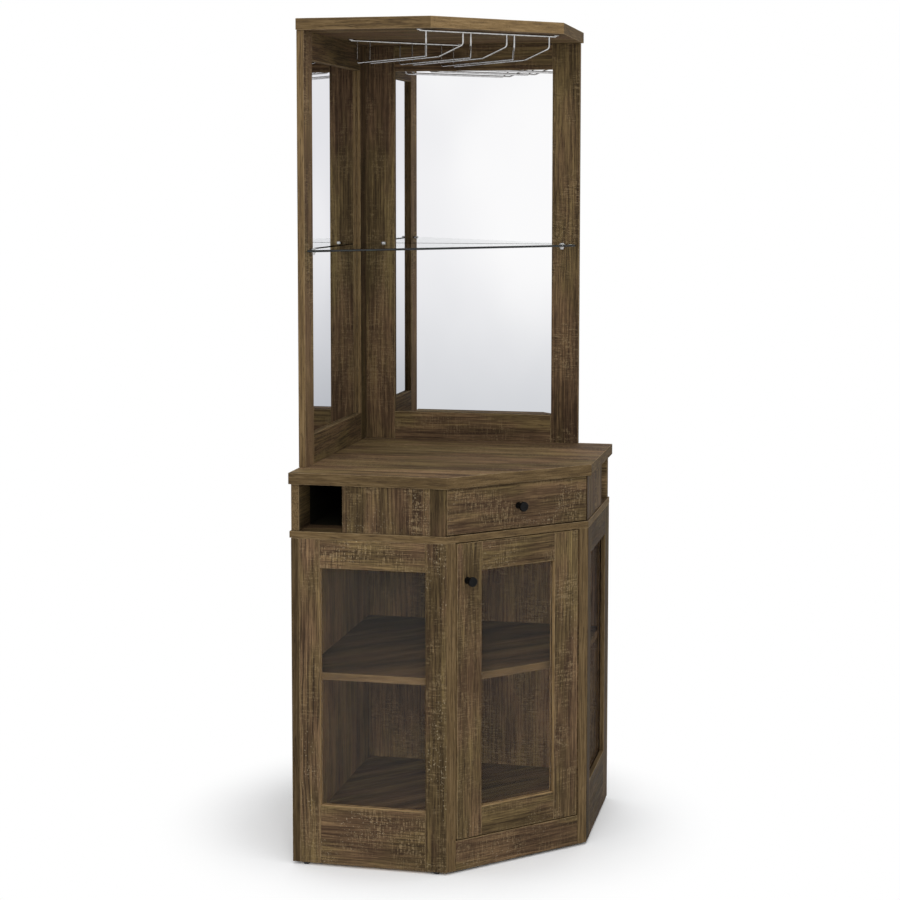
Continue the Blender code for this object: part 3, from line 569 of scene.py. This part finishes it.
SMOKE, GREYER_SMOKE = (0.94, 0.918, 0.888, 1), (0.915, 0.90, 0.89, 1)
SMOKE_EDGE, SMOKE_LIGHT = (0.10, 0.08, 0.06, 1), (0.97, 0.95, 0.93, 1)
for name, flat, smoke in (("left_frame_glass", LEFT_WALL, SMOKE), ("door_glass", FRONT, SMOKE),
                          ("right_frame_glass", RIGHT_WALL, GREYER_SMOKE)):
    pane = tinted_glass("smoked_" + name, smoke, SMOKE_EDGE, SMOKE_LIGHT, 1.005, flat, haze=0.011)
    dress(nodes[name], pane)
clear_glass = tinted_glass("shelf_glass", (0.94, 0.975, 0.96, 1), (0.006, 0.024, 0.017, 1),
                           (0.92, 0.96, 0.94, 1), 1.5, UP)
dress(nodes["glass_shelf"], clear_glass)
print("panes: 3 smoked, and a clear shelf with a green edge")

# %% [markdown]
# A mirror is silver behind glass. It could be two layers, but one plain metal
# shows the same and costs the renderer less. Over it lies a faint uneven veil,
# and the silver is painted greyer and bluer towards the bottom, as painted shade
# in its reflection. The cut edges show the glass and the back is painted grey,
# so only faces that look to the front are metal.

# %% Mirrors
SILVER, VEILED, SHADED_LOW_SILVER = (0.96, 0.958, 0.965, 1), (0.865, 0.865, 0.885, 1), (0.61, 0.625, 0.655, 1)
MIRROR_EDGE = (0.05, 0.11, 0.09, 1)


def mirror(name, flat, bottom, top):
    """Silvered glass, with painted shade that dims it from the top height down to the bottom."""
    material, tree, shader = new_material(name)
    place = placed(tree)
    front = sums(tree, "GREATER_THAN", facing(tree, flat), 0.9)
    back = sums(tree, "LESS_THAN", facing(tree, flat), -0.9)
    paint = grey(tree, remap(tree, noise(tree, place, (30, 30, 30), 4), 0.3, 0.7, 0.10, 0.16))
    cloud = product(tree, noise(tree, place, (3, 3, 2), 3), 0.25)
    # Painted shade: the silver dims from the top height down to the bottom
    unshaded_share = remap(tree, total(tree, parts_of(tree, place)["Z"], cloud), bottom, top)
    veil = remap(tree, noise(tree, place, (2.2, 2.2, 1.6), 2, 0.4), 0.38, 0.62)
    silver = blend(tree, unshaded_share, SHADED_LOW_SILVER, blend(tree, veil, VEILED, SILVER))
    colour = blend(tree, front, blend(tree, back, MIRROR_EDGE, paint), silver)
    smears = remap(tree, noise(tree, place, (9, 9, 5), 4), 0.50, 0.80, 0.003, 0.020)
    fill(tree, shader, Base_Color=colour, Metallic=front, Roughness=pick_value(tree, front, 0.45, smears))
    return material


low_edge, high_edge = span("hutch_left_mirror", UP)
# Above this height the mirrors carry no painted shade
shade_free_height = (low_edge + high_edge) / 2 + 0.15
for side, flat in (("left", RIGHT_WALL), ("right", LEFT_WALL)):
    dress(nodes[f"hutch_{side}_mirror"], mirror("silvered_" + side, flat, low_edge, shade_free_height))
print("mirrors:", round(high_edge - low_edge, 3), "m high")

# %% [markdown]
# ## Metal, plastic and hardboard
#
# Paint, nylon, plated and bare steel and hardboard differ in tone, gloss and
# grain, but each is a tone and a gloss that wander a little, with fine bumps at
# their real scale. So one recipe makes them all, from a row of values each.


# %% Small finishes
def wandering(name, dark, pale, rough, metallic, grain, depth, gloss=0.5):
    """An uneven finish. Its grain is in bumps per metre."""
    material, tree, shader = new_material(name)
    coarse, fine = (noise(tree, placed(tree), (cells, cells, cells), 3, rest)
                    for cells, rest in ((grain / 9, 0.5), (grain, 0.6)))
    tone = blend(tree, remap(tree, coarse, 0.3, 0.7), (*dark, 1), (*pale, 1))
    bump = add(tree, "Bump", None, Strength=0.3, Distance=depth, Height=fine).outputs[0]
    fill(tree, shader, Base_Color=tone, Roughness=remap(tree, fine, 0.3, 0.7, *rough), Metallic=metallic,
         Specular_IOR_Level=gloss, Normal=bump)
    return material


black_paint = wandering("black_powder_coat", (0.0015,) * 3, (0.004,) * 3,
                        rough=(0.20, 0.34), metallic=0.0, grain=1800, depth=0.0001, gloss=0.11)
black_nylon = wandering("black_nylon", (0.008, 0.008, 0.009), (0.018, 0.018, 0.020),
                        rough=(0.45, 0.62), metallic=0.0, grain=1500, depth=0.0002, gloss=0.25)
chrome = wandering("chrome_plate", (0.42, 0.415, 0.41), (0.58, 0.575, 0.57),
                   rough=(0.08, 0.20), metallic=1.0, grain=900, depth=0.00003)
blued_steel = wandering("blued_steel", (0.012, 0.012, 0.013), (0.030, 0.030, 0.032),
                        rough=(0.30, 0.46), metallic=1.0, grain=700, depth=0.0001)
zinc = wandering("bright_zinc", (0.44, 0.45, 0.46), (0.60, 0.61, 0.62),
                 rough=(0.26, 0.42), metallic=1.0, grain=700, depth=0.0001)
hardboard = wandering("hardboard", (0.110, 0.072, 0.040), (0.160, 0.108, 0.062),
                      rough=(0.62, 0.80), metallic=0.0, grain=1200, depth=0.0002)
for words, material in (("_knob", black_paint), ("floor_glide", black_nylon), ("shelf_clip", chrome),
                        ("stemware_rack", chrome), ("pivot_pin", blued_steel), ("drawer_track", zinc),
                        ("drawer_channel", zinc), ("drawer_bottom", hardboard)):
    worn_by = [name for name in nodes if words in name]
    for name in worn_by:
        dress(nodes[name], material)
    print(material.name + ":", ", ".join(worn_by))

# %% [markdown]
# ## Tools for modelling
#
# Each new piece starts from a primitive and is shaped in edit mode, as by hand,
# on faces and edges picked by their place or direction. Rounded edges bend the
# light on the flat faces beside them, so a weighted normal gives the big faces
# theirs back. At the end a piece's place goes into its mesh, and its object
# stays at the origin.

# %% Modelling helpers
TOUCH = 0.0001


def select_none():
    """Deselect every object, since an operator acts on all that is selected."""
    bpy.ops.object.select_all(action="DESELECT")


def only(piece):
    """Select one object alone."""
    select_none()
    piece.select_set(True)
    bpy.context.view_layer.objects.active = piece


def give_place():
    """Move the selected piece's place and turn into its mesh."""
    bpy.ops.object.transform_apply(location=True, rotation=True, scale=True)


def rough_block(middle, size, turn=0.0):
    """A block, open in edit mode to be shaped."""
    select_none()
    bpy.ops.mesh.primitive_cube_add(size=1, location=middle, rotation=(0, 0, turn), scale=size)
    give_place()
    bpy.ops.object.mode_set(mode="EDIT")
    return bpy.context.object


def pick(piece, kind, test):
    """Select the corners, edges or faces that pass a test."""
    bpy.ops.mesh.select_mode(type=kind)
    bpy.ops.mesh.select_all(action="DESELECT")
    work = bmesh.from_edit_mesh(piece.data)
    for part in {"VERT": work.verts, "EDGE": work.edges, "FACE": work.faces}[kind]:
        part.select = test(part)
    work.select_flush_mode()
    bmesh.update_edit_mesh(piece.data)


def runs(edge, way):
    """Whether an edge runs along a direction."""
    return abs((edge.verts[0].co - edge.verts[1].co).normalized().dot(way)) > 0.9


def lies_in(edge, spot, way):
    """Whether an edge lies in the plane through a spot, square to a direction."""
    return all(abs(way.dot(vertex.co - spot)) < TOUCH for vertex in edge.verts)


def draw_out(shift):
    """Extrude the selected faces by a shift."""
    bpy.ops.mesh.extrude_region_move(TRANSFORM_OT_translate={"value": shift})


def ease(piece, width, rings=2):
    """Leave edit mode, round the sharp edges and keep the big faces flat."""
    bpy.ops.object.mode_set(mode="OBJECT")
    sharp = math.radians(30)
    bevel = piece.modifiers.new("eased_edges", "BEVEL")
    bevel.width, bevel.segments, bevel.limit_method, bevel.angle_limit = width, rings, "ANGLE", sharp
    only(piece)
    bpy.ops.object.modifier_apply(modifier=bevel.name)
    bpy.ops.object.shade_smooth_by_angle(angle=sharp)
    weighing = piece.modifiers.new("flat_faces", "WEIGHTED_NORMAL")
    weighing.weight, weighing.keep_sharp = 100, True
    bpy.ops.object.modifier_apply(modifier=weighing.name)


def settle(piece, name, body, material, node=None):
    """Name a finished piece and hand it to the frame."""
    only(piece)
    give_place()
    piece.name = piece.data.name = name
    dress(piece, material)
    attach(piece, body)
    if node:
        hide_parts(node)
    print(f"{name}: {len(piece.data.polygons)} faces")


# %% [markdown]
# ## Turned pieces
#
# Knobs, glides and screws are round things that a lathe makes. A profile could
# be spun about an axis, but a thin disc whose top face is drawn out and resized
# ring by ring is closed from the start, with clean ends. The profile is a row
# of (radius, height) pairs, in shares of the whole.


# %% Turn a piece
def turned(foot, axis, radius, length, profile, segments):
    """Turn a closed piece along an axis, by a profile in shares of its size."""
    (wide, tall), *rings = [(radius * out, length * up) for out, up in profile]
    lean = axis.to_track_quat("Z", "Y").to_euler()
    select_none()
    bpy.ops.mesh.primitive_cylinder_add(vertices=segments, radius=wide, depth=tall, rotation=lean,
                                        location=foot + axis * tall / 2)
    piece = bpy.context.object
    give_place()
    bpy.ops.object.mode_set(mode="EDIT")
    pick(piece, "FACE", lambda face: face.normal.dot(axis) > 0.9)
    for wider, taller in rings:
        draw_out(axis * (taller - tall))
        grow = wider / wide
        bpy.ops.transform.resize(value=(grow, grow, grow), center_override=foot + axis * taller)
        wide, tall = wider, taller
    bpy.ops.object.mode_set(mode="OBJECT")
    only(piece)
    bpy.ops.object.shade_smooth_by_angle(angle=math.radians(35))
    return piece


def quarter(start, end, steps=5, bulge=True):
    """Rings of a rounded step between two (radius, height) pairs."""
    for step in range(1, steps + 1):
        turn = math.pi / 2 * step / steps
        side, rise = (1 - math.cos(turn), math.sin(turn)) if bulge else (math.sin(turn), 1 - math.cos(turn))
        yield start[0] + (end[0] - start[0]) * side, start[1] + (end[1] - start[1]) * rise


# %% [markdown]
# The two black knobs have a foot, a waisted stem and a wide flat head with a
# rounded rim and a shallow dish. The frame's knobs are coarse, so these take
# their place at the same full size.


# %% Knobs
def knob(node, body):
    """One knob that points to the front."""
    low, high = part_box(node)
    radius, length = (high.x - low.x) / 2, (high.y - low.y) * 0.999
    foot = Vector(((low.x + high.x) / 2, high.y, (low.z + high.z) / 2))
    neck, rim = (0.58, 0.60), (1, 0.90)
    profile = [(0.72, 0.05), (0.70, 0.10), (0.60, 0.22), (0.55, 0.36), neck, *quarter(neck, (1, 0.76)), rim,
               *quarter(rim, (0.86, 1)), (0.70, 0.985), (0.30, 0.98)]
    piece = turned(foot, FRONT, radius, length, profile, segments=48)
    settle(piece, node.replace("knob", "turned_knob"), body, black_paint, node)


knob("door_knob", "door")
knob("drawer_knob", "drawer")

# %% [markdown]
# Small nylon glides keep the boards' edges off the floor. They are turned too,
# from a small foot that curves out to the widest ring.


# %% Floor glides
def glide(node):
    """One glide, drawn from the floor up."""
    low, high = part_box(node)
    foot = Vector(((low.x + high.x) / 2, (low.y + high.y) / 2, low.z))
    tread = (0.68, 0.06)
    profile = [tread, *quarter(tread, (1, 0.60), bulge=False), (1, 0.85), (0.94, 1)]
    piece = turned(foot, UP, (high.x - low.x) / 2, high.z - low.z, profile, segments=32)
    settle(piece, node.replace("floor", "nylon"), "cabinet", black_nylon, node)


for node in [name for name in nodes if name.startswith("floor_glide")]:
    glide(node)

# %% [markdown]
# ## Corner posts beside the drawer
#
# Beside the drawer a narrow plain post stands next to each broad side panel.
# The frame has them as one board. Two new boards could be modelled, but a copy
# that is cut in two keeps the frame's own faces. It is merged, since its
# triangles are loose, and bisected, and both cut edges are eased, which leaves
# a fine V-groove where they meet.

# %% Cut the side panels in two
POST_WIDTH = 0.035
JOINT_EASE = 0.0009


def copied(node):
    """A merged copy of a frame piece, open for editing."""
    piece = nodes[node].copy()
    piece.data = nodes[node].data.copy()
    piece.parent = None
    bpy.context.scene.collection.objects.link(piece)
    only(piece)
    bpy.ops.object.mode_set(mode="EDIT")
    bpy.ops.mesh.select_all(action="SELECT")
    bpy.ops.mesh.remove_doubles(threshold=0.00001)
    bpy.ops.mesh.dissolve_limited(angle_limit=math.radians(1))
    return piece


def cut_piece(node, spot, way, keep_far):
    """One side of a board that is cut across, its cut eased."""
    piece = copied(node)
    bpy.ops.mesh.select_all(action="SELECT")
    bpy.ops.mesh.bisect(plane_co=spot, plane_no=way, use_fill=True, clear_outer=not keep_far,
                        clear_inner=keep_far)
    pick(piece, "EDGE", lambda edge: lies_in(edge, spot, way))
    bpy.ops.mesh.bevel(offset=JOINT_EASE, segments=1)
    bpy.ops.object.mode_set(mode="OBJECT")
    return piece


for side, way, turn in (("left", RIGHT_WALL, FACES_LEFT), ("right", LEFT_WALL, FACES_RIGHT)):
    node = "side_panel_" + side
    joint = CORNER + way * (span(node, way)[1] - POST_WIDTH)
    panel, post = cut_piece(node, joint, way, False), cut_piece(node, joint, way, True)
    panel_oak = oak("niche_panel_" + side, turn, True, 60, 0.88, Marks=1.2)
    post_oak = oak("corner_post_" + side, turn, True, 61, 0.56, Marks=0.25, Flecks=0.0, Mitred=1.0, Tape=0.0)
    settle(panel, "niche_panel_" + side, "cabinet", panel_oak, node)
    settle(post, "corner_post_" + side, "cabinet", post_oak, node)

# %% [markdown]
# ## Glass shelf and its clips
#
# The shelf is float glass with polished edges, which catch the light in a thin
# bright line. Only a real bevel gives that line, so a merged copy of the
# frame's shelf gets a narrow one all round.

# %% Polish the shelf's edges
POLISHED_EDGE = 0.0007
shelf = copied("glass_shelf")
ease(shelf, POLISHED_EDGE)
settle(shelf, "polished_glass_shelf", "cabinet", clear_glass, "glass_shelf")
glass_underside = span("glass_shelf", UP)[0]

# %% [markdown]
# The three clips are small chromed castings: a web on the board, two jaws with
# rounded noses, and a boss below for the screw that holds the glass. They could
# be joined from several blocks, but a casting is one skin: the web's block is
# bisected at the jaws' inner levels, so that each jaw has a face to grow from.


# %% Cast the clips
def clip(node, out, along):
    """One clip, grown from a small block."""
    face, tip = span(node, out)
    first, last = span(node, along)
    low, high = span(node, UP)
    width, wall = last - first, glass_underside - low
    middle = CORNER + out * (face + wall / 2) + along * (first + last) / 2
    piece = rough_block(middle + UP * (low + high) / 2, (wall, width, high - low), math.atan2(out.y, out.x))
    for height in (low + wall, high - wall):
        bpy.ops.mesh.select_all(action="SELECT")
        bpy.ops.mesh.bisect(plane_co=UP * height, plane_no=UP)
    # The jaws grow out of the web above and below the glass
    pick(piece, "FACE", lambda face: face.normal.dot(out) > 0.9
         and not low + wall < face.calc_center_median().z < high - wall)
    draw_out(out * (tip - face - wall))
    pick(piece, "EDGE", lambda edge: runs(edge, UP) and lies_in(edge, CORNER + out * tip, out))
    bpy.ops.mesh.bevel(offset=width * 0.36, segments=6)
    # The boss hangs under the lower jaw, and the top is slightly domed
    for way, level, inset, grow in ((-1, low, 0.13, 0.36), (1, high, 0.10, 0.06)):
        pick(piece, "FACE", lambda face: face.normal.z * way > 0.9
             and abs(face.calc_center_median().z - level) < TOUCH)
        bpy.ops.mesh.inset(thickness=width * inset)
        draw_out(UP * way * width * grow)
    ease(piece, wall * 0.22, rings=3)
    settle(piece, node.replace("shelf_clip", "cast_shelf_clip"), "cabinet", chrome, node)


clip("shelf_clip_left", RIGHT_WALL, LEFT_WALL)
clip("shelf_clip_corner", LEFT_WALL, RIGHT_WALL)
clip("shelf_clip_right", LEFT_WALL, RIGHT_WALL)

# %% [markdown]
# ## Stemware rack
#
# The rack hangs under the cap. Six wires are bent into three channels with wide
# mouths at the front, and are welded to two cross bars that end in flat tabs.

# %% Sizes of the rack
rack_low, rack_high = span("stemware_rack", UP)
WIRE, BAR = 0.0020, 0.0024  # radii
PITCH, SLOT, MOUTH = 0.1155, 0.034, 0.095  # the channels' step and their two widths
FRONT_BAR, REAR_BAR = 0.562, 0.213  # in front of the room's corner
MOUTH_LENGTH, ELBOW_RISE, BEND = 0.049, 0.024, 0.008
TAB = Vector((0.014, 0.010, 0.0014))
HAIR = 0.0003  # left free between pieces
bar_level = rack_high - HAIR - BAR
wire_level = rack_low + WIRE
print("rack: bars at", round(bar_level, 4), "m, wires at", round(wire_level, 4), "m")

# %% [markdown]
# A wire could be a chain of cylinders, but a real one is bent from one rod. So
# it is drawn as a line of points, as one would mark the bends on the rod. A
# vertex bevel rounds its corners, and a curve then gives it its thickness.


# %% Bend a wire
def bent_wire(points, radius, bend):
    """A round wire through points, its inner corners bent to a radius."""
    select_none()
    bpy.ops.mesh.primitive_plane_add(size=radius)
    wire = bpy.context.object
    bpy.ops.object.mode_set(mode="EDIT")
    bpy.ops.mesh.select_mode(type="VERT")
    bpy.ops.mesh.merge(type="CENTER")
    bpy.ops.transform.translate(value=points[0])
    for start, stop in zip(points, points[1:]):
        bpy.ops.mesh.extrude_vertices_move(TRANSFORM_OT_translate={"value": stop - start})
    for before, corner, after in zip(points, points[1:], points[2:]):
        pick(wire, "VERT", lambda vertex: (vertex.co - corner).length < radius / 4)
        turn = (corner - before).angle(after - corner)
        bpy.ops.mesh.bevel(offset=bend * math.tan(turn / 2), segments=6, affect="VERTICES")
    bpy.ops.object.mode_set(mode="OBJECT")
    only(wire)
    bpy.ops.object.convert(target="CURVE")
    wire = bpy.context.object
    wire.data.bevel_depth, wire.data.bevel_resolution, wire.data.use_fill_caps = radius, 3, True
    bpy.ops.object.convert(target="MESH")
    bpy.ops.object.shade_smooth_by_angle(angle=math.radians(50))
    return bpy.context.object


def duplicate(piece, shift, mirrored=False):
    """A copy, moved and, if wanted, mirrored across X."""
    only(piece)
    bpy.ops.object.duplicate()
    twin = bpy.context.object
    bpy.ops.object.mode_set(mode="EDIT")
    bpy.ops.mesh.select_all(action="SELECT")
    if mirrored:
        bpy.ops.transform.resize(value=(-1, 1, 1), center_override=(0, 0, 0))
        bpy.ops.mesh.normals_make_consistent(inside=False)
    bpy.ops.transform.translate(value=shift)
    bpy.ops.object.mode_set(mode="OBJECT")
    return twin


# %% [markdown]
# One wire is bent, and the other five are copies of it, moved and mirrored. With
# the bars and their rounded tabs they are joined, since the real ones are welded.


# %% Build the rack
def ahead(across, depth, level):
    """A point by its distance right of the middle and in front of the corner."""
    return CORNER + Vector((across, 0, level)) + FRONT * depth


route = [ahead(MOUTH / 2, FRONT_BAR, bar_level), ahead(MOUTH / 2, FRONT_BAR, wire_level + ELBOW_RISE),
         ahead(SLOT / 2, FRONT_BAR - MOUTH_LENGTH, wire_level), ahead(SLOT / 2, REAR_BAR, wire_level),
         ahead(SLOT / 2, REAR_BAR, bar_level)]
right_wire = bent_wire(route, WIRE, BEND)
left_wire = duplicate(right_wire, Vector(), mirrored=True)
rack = [right_wire, left_wire]
for wire in (right_wire, left_wire):
    rack += [duplicate(wire, Vector((step * PITCH, 0, 0))) for step in (-1, 1)]
for depth, gap in ((FRONT_BAR, MOUTH), (REAR_BAR, SLOT)):
    end = PITCH + gap / 2 + TAB.x + 0.004
    rack.append(bent_wire([ahead(-end, depth, bar_level), ahead(end, depth, bar_level)], BAR, 0))
    for hand in (-1, 1):
        tab = rough_block(ahead(hand * (end - 0.006 + TAB.x / 2), depth, rack_high - TAB.z / 2), TAB)
        pick(tab, "EDGE", lambda edge: runs(edge, UP))
        bpy.ops.mesh.bevel(offset=TAB.y * 0.35, segments=5)
        ease(tab, TAB.z * 0.2)
        rack.append(tab)
only(rack[0])
for piece in rack:
    piece.select_set(True)
bpy.ops.object.join()
settle(rack[0], "bent_wire_rack", "cabinet", chrome, "stemware_rack")

# %% [markdown]
# ## Screws, catch and backing sheets
#
# These show from behind, or with the door or the drawer open. The screws of the
# rack and the knobs are turned like the knobs, with a pan head that is sunk in
# the middle. A cross for the driver would be smaller than a pixel.


# %% Turn the screws
def screw(name, foot, axis, radius, body, material):
    """A pan head with a rounded rim and a recess."""
    rim = (1, 0.25)
    profile = [rim, *quarter(rim, (0.62, 1)), (0.34, 1), (0.16, 0.4)]
    settle(turned(foot, axis, radius, radius * 0.55, profile, segments=24), name, body, material)


for depth, gap, row in ((FRONT_BAR, MOUTH, "front"), (REAR_BAR, SLOT, "rear")):
    for hand, side in ((-1, "left"), (1, "right")):
        across = hand * (PITCH + gap / 2 + TAB.x * 1.35)
        screw(f"rack_screw_{row}_{side}", ahead(across, depth, rack_high - TAB.z), -UP, TAB.y * 0.30,
              "cabinet", chrome)
for node, board, body in (("door_knob", "door_latch_stile", "door"),
                          ("drawer_knob", "drawer_front", "drawer")):
    low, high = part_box(node)
    foot = Vector(((low.x + high.x) / 2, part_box(board)[1].y, (low.z + high.z) / 2))
    screw(node + "_screw", foot, -FRONT, 0.004, body, zinc)

# %% [markdown]
# A magnetic catch holds the door shut: a housing under the mid board and a thin
# steel plate on the door's back. Both start as plain blocks, and their broad
# faces are set in a little, as on moulded and pressed pieces.

# %% Make the catch
CATCH, STRIKE, CATCH_LEFT = Vector((0.044, 0.014, 0.012)), Vector((0.038, 0.0008, 0.010)), -0.140


def block(name, low, high, width, body, material):
    """A small box between two corners, its broad faces set in."""
    piece = rough_block((low + high) / 2, high - low)
    broad = min(range(3), key=lambda axis: (high - low)[axis])
    pick(piece, "FACE", lambda face: abs(face.normal[broad]) > 0.9)
    bpy.ops.mesh.inset(thickness=width * 3)
    bpy.ops.mesh.extrude_region_shrink_fatten(TRANSFORM_OT_shrink_fatten={"value": -width / 2})
    ease(piece, width)
    settle(piece, name, body, material)


door_back, board_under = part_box("door_top_rail")[1].y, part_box("mid_board")[0].z
low = Vector((CATCH_LEFT, door_back + STRIKE.y + 2 * HAIR, board_under - HAIR - CATCH.z))
block("catch_housing", low, low + CATCH, 0.0008, "cabinet", black_nylon)
low = Vector((CATCH_LEFT + (CATCH.x - STRIKE.x) / 2, door_back + HAIR / 2, low.z + (CATCH.z - STRIKE.z) / 2))
block("catch_strike_plate", low, low + STRIKE, 0.0002, "door", zinc)

# %% [markdown]
# A sheet of hardboard presses each mirror into its rebate from behind. It fills
# the depth that the mirror leaves, less a hair behind it and three in front.


# %% Cut the backing sheets
def backing(side, out, along):
    """A hardboard sheet in the rebate behind a mirror."""
    node = f"hutch_{side}_mirror"
    first, last = span(node, along)
    low, high = span(node, UP)
    back = span(f"hutch_{side}_top_rail", out)[0]
    thick = span(node, out)[0] - back - 4 * HAIR
    middle = CORNER + out * (back + HAIR + thick / 2) + along * (first + last) / 2 + UP * (low + high) / 2
    sheet = rough_block(middle, (thick, last - first, high - low), math.atan2(out.y, out.x))
    pick(sheet, "EDGE", lambda edge: runs(edge, out))
    bpy.ops.mesh.bevel(offset=0.003, segments=4)
    ease(sheet, thick * 0.2)
    settle(sheet, f"mirror_backing_{side}", "cabinet", hardboard)


backing("left", RIGHT_WALL, LEFT_WALL)
backing("right", LEFT_WALL, RIGHT_WALL)

# %% [markdown]
# ## Floor and light
#
# The picture was taken on white. More light would give a white floor, but it
# would bleach the cabinet too. So the pale floor catches a soft shadow, and
# further out the camera, the mirrors and the glass see it pass into the white
# of the backdrop, while the light on the cabinet stays plain.

# %% Floor
WHITE_FROM, WHITE_BEYOND = 0.38, 0.68


def seen_rays(tree):
    """1 for rays of the camera, a mirror or glass, and 0 for rays that carry light."""
    path = add(tree, "LightPath").outputs
    return sums(tree, "MAXIMUM", path["Is Camera Ray"], path["Is Glossy Ray"], path["Is Transmission Ray"])


select_none()
bpy.ops.mesh.primitive_circle_add(vertices=96, radius=14, fill_type="NGON")
floor = bpy.context.object
floor.name = "studio_floor"
material, tree, shader = new_material("pale_floor")
pale = grey(tree, remap(tree, noise(tree, placed(tree), (3, 3, 3), 4), 0.3, 0.7, 0.945, 0.965))
fill(tree, shader, Base_Color=pale, Roughness=0.9, Specular_IOR_Level=0.0)
distance = add(tree, "VectorMath", {"operation": "LENGTH"}, _0=placed(tree)).outputs["Value"]
away = product(tree, remap(tree, distance, WHITE_FROM, WHITE_BEYOND), seen_rays(tree))
glow = add(tree, "Emission", None, Color=(1, 1, 1, 1), Strength=1.0)
either_shader(tree, away, shader, glow, tree.nodes["Material Output"])
dress(floor, material)
print("floor: white from", WHITE_BEYOND, "m out")

# %% [markdown]
# The backdrop is the world. It lights the cabinet softly from all around, and
# to the camera, the mirrors and the glass it is plain white.

# %% Backdrop
world = bpy.data.worlds.new("studio")
bpy.context.scene.world = world
world.use_nodes = True
tree = world.node_tree
tree.nodes.clear()
soft = add(tree, "Background", None, Color=(0.97, 0.985, 1.0, 1), Strength=0.68)
white = add(tree, "Background", None, Color=(1, 1, 1, 1), Strength=1.0)
either_shader(tree, seen_rays(tree), soft, white, add(tree, "OutputWorld"))
print("backdrop:", len(tree.nodes), "nodes")

# %% [markdown]
# A small lamp would cast hard shadows, which the picture hasn't. So a large
# soft one stands at the left front, and one above brings out the counter. The
# first is hidden from the mirrors, which show a plain white room.


# %% Soft lights
def softbox(name, place, aim, size, watts):
    """A square studio light that looks at a point."""
    bpy.ops.object.light_add(type="AREA", location=place)
    lamp = bpy.context.object
    lamp.name = name
    lamp.data.size = size
    lamp.data.energy = watts
    lamp.rotation_euler = (Vector(aim) - Vector(place)).to_track_quat("-Z", "Y").to_euler()
    print(f"{name}: {watts} W")
    return lamp


key_light = softbox("key_light", place=(-2.4, -3.2, 2.5), aim=(0, 0, 0.9), size=2.0, watts=72)
key_light.visible_glossy = False
softbox("top_light", place=(0, -0.6, 4.6), aim=(0, 0, 0), size=2.6, watts=60)

# %% [markdown]
# ## Camera
#
# The camera stands to the left, above the counter, and looks slightly down. Its
# place and its long, shifted lens were fitted to the cabinet's corners in the
# picture, whose optical axis isn't in its middle.

# %% Camera
CAMERA_TURN, CAMERA_PITCH = math.radians(-32.341), math.radians(-5.0)
CAMERA_DISTANCE, CAMERA_HEIGHT, CAMERA_AIM = 4.527, 1.506, 0.0052
LENS_PIXELS, AXIS_X, AXIS_Y, PICTURE = 1953.97, 437.18, 352.89, 900
eye = Vector((math.sin(CAMERA_TURN) * CAMERA_DISTANCE, CAMERA_AIM - math.cos(CAMERA_TURN) * CAMERA_DISTANCE,
              CAMERA_HEIGHT))
bpy.ops.object.camera_add(location=eye, rotation=(math.pi / 2 + CAMERA_PITCH, 0, CAMERA_TURN))
camera = bpy.context.object
lens = camera.data
lens.sensor_width = 36
lens.lens = LENS_PIXELS / PICTURE * lens.sensor_width
lens.shift_x, lens.shift_y = 0.5 - AXIS_X / PICTURE, AXIS_Y / PICTURE - 0.5
bpy.context.scene.camera = camera
bpy.context.scene.view_settings.view_transform = "Standard"
print("lens", round(lens.lens, 1), "mm, shift", round(lens.shift_x, 3), round(lens.shift_y, 3))
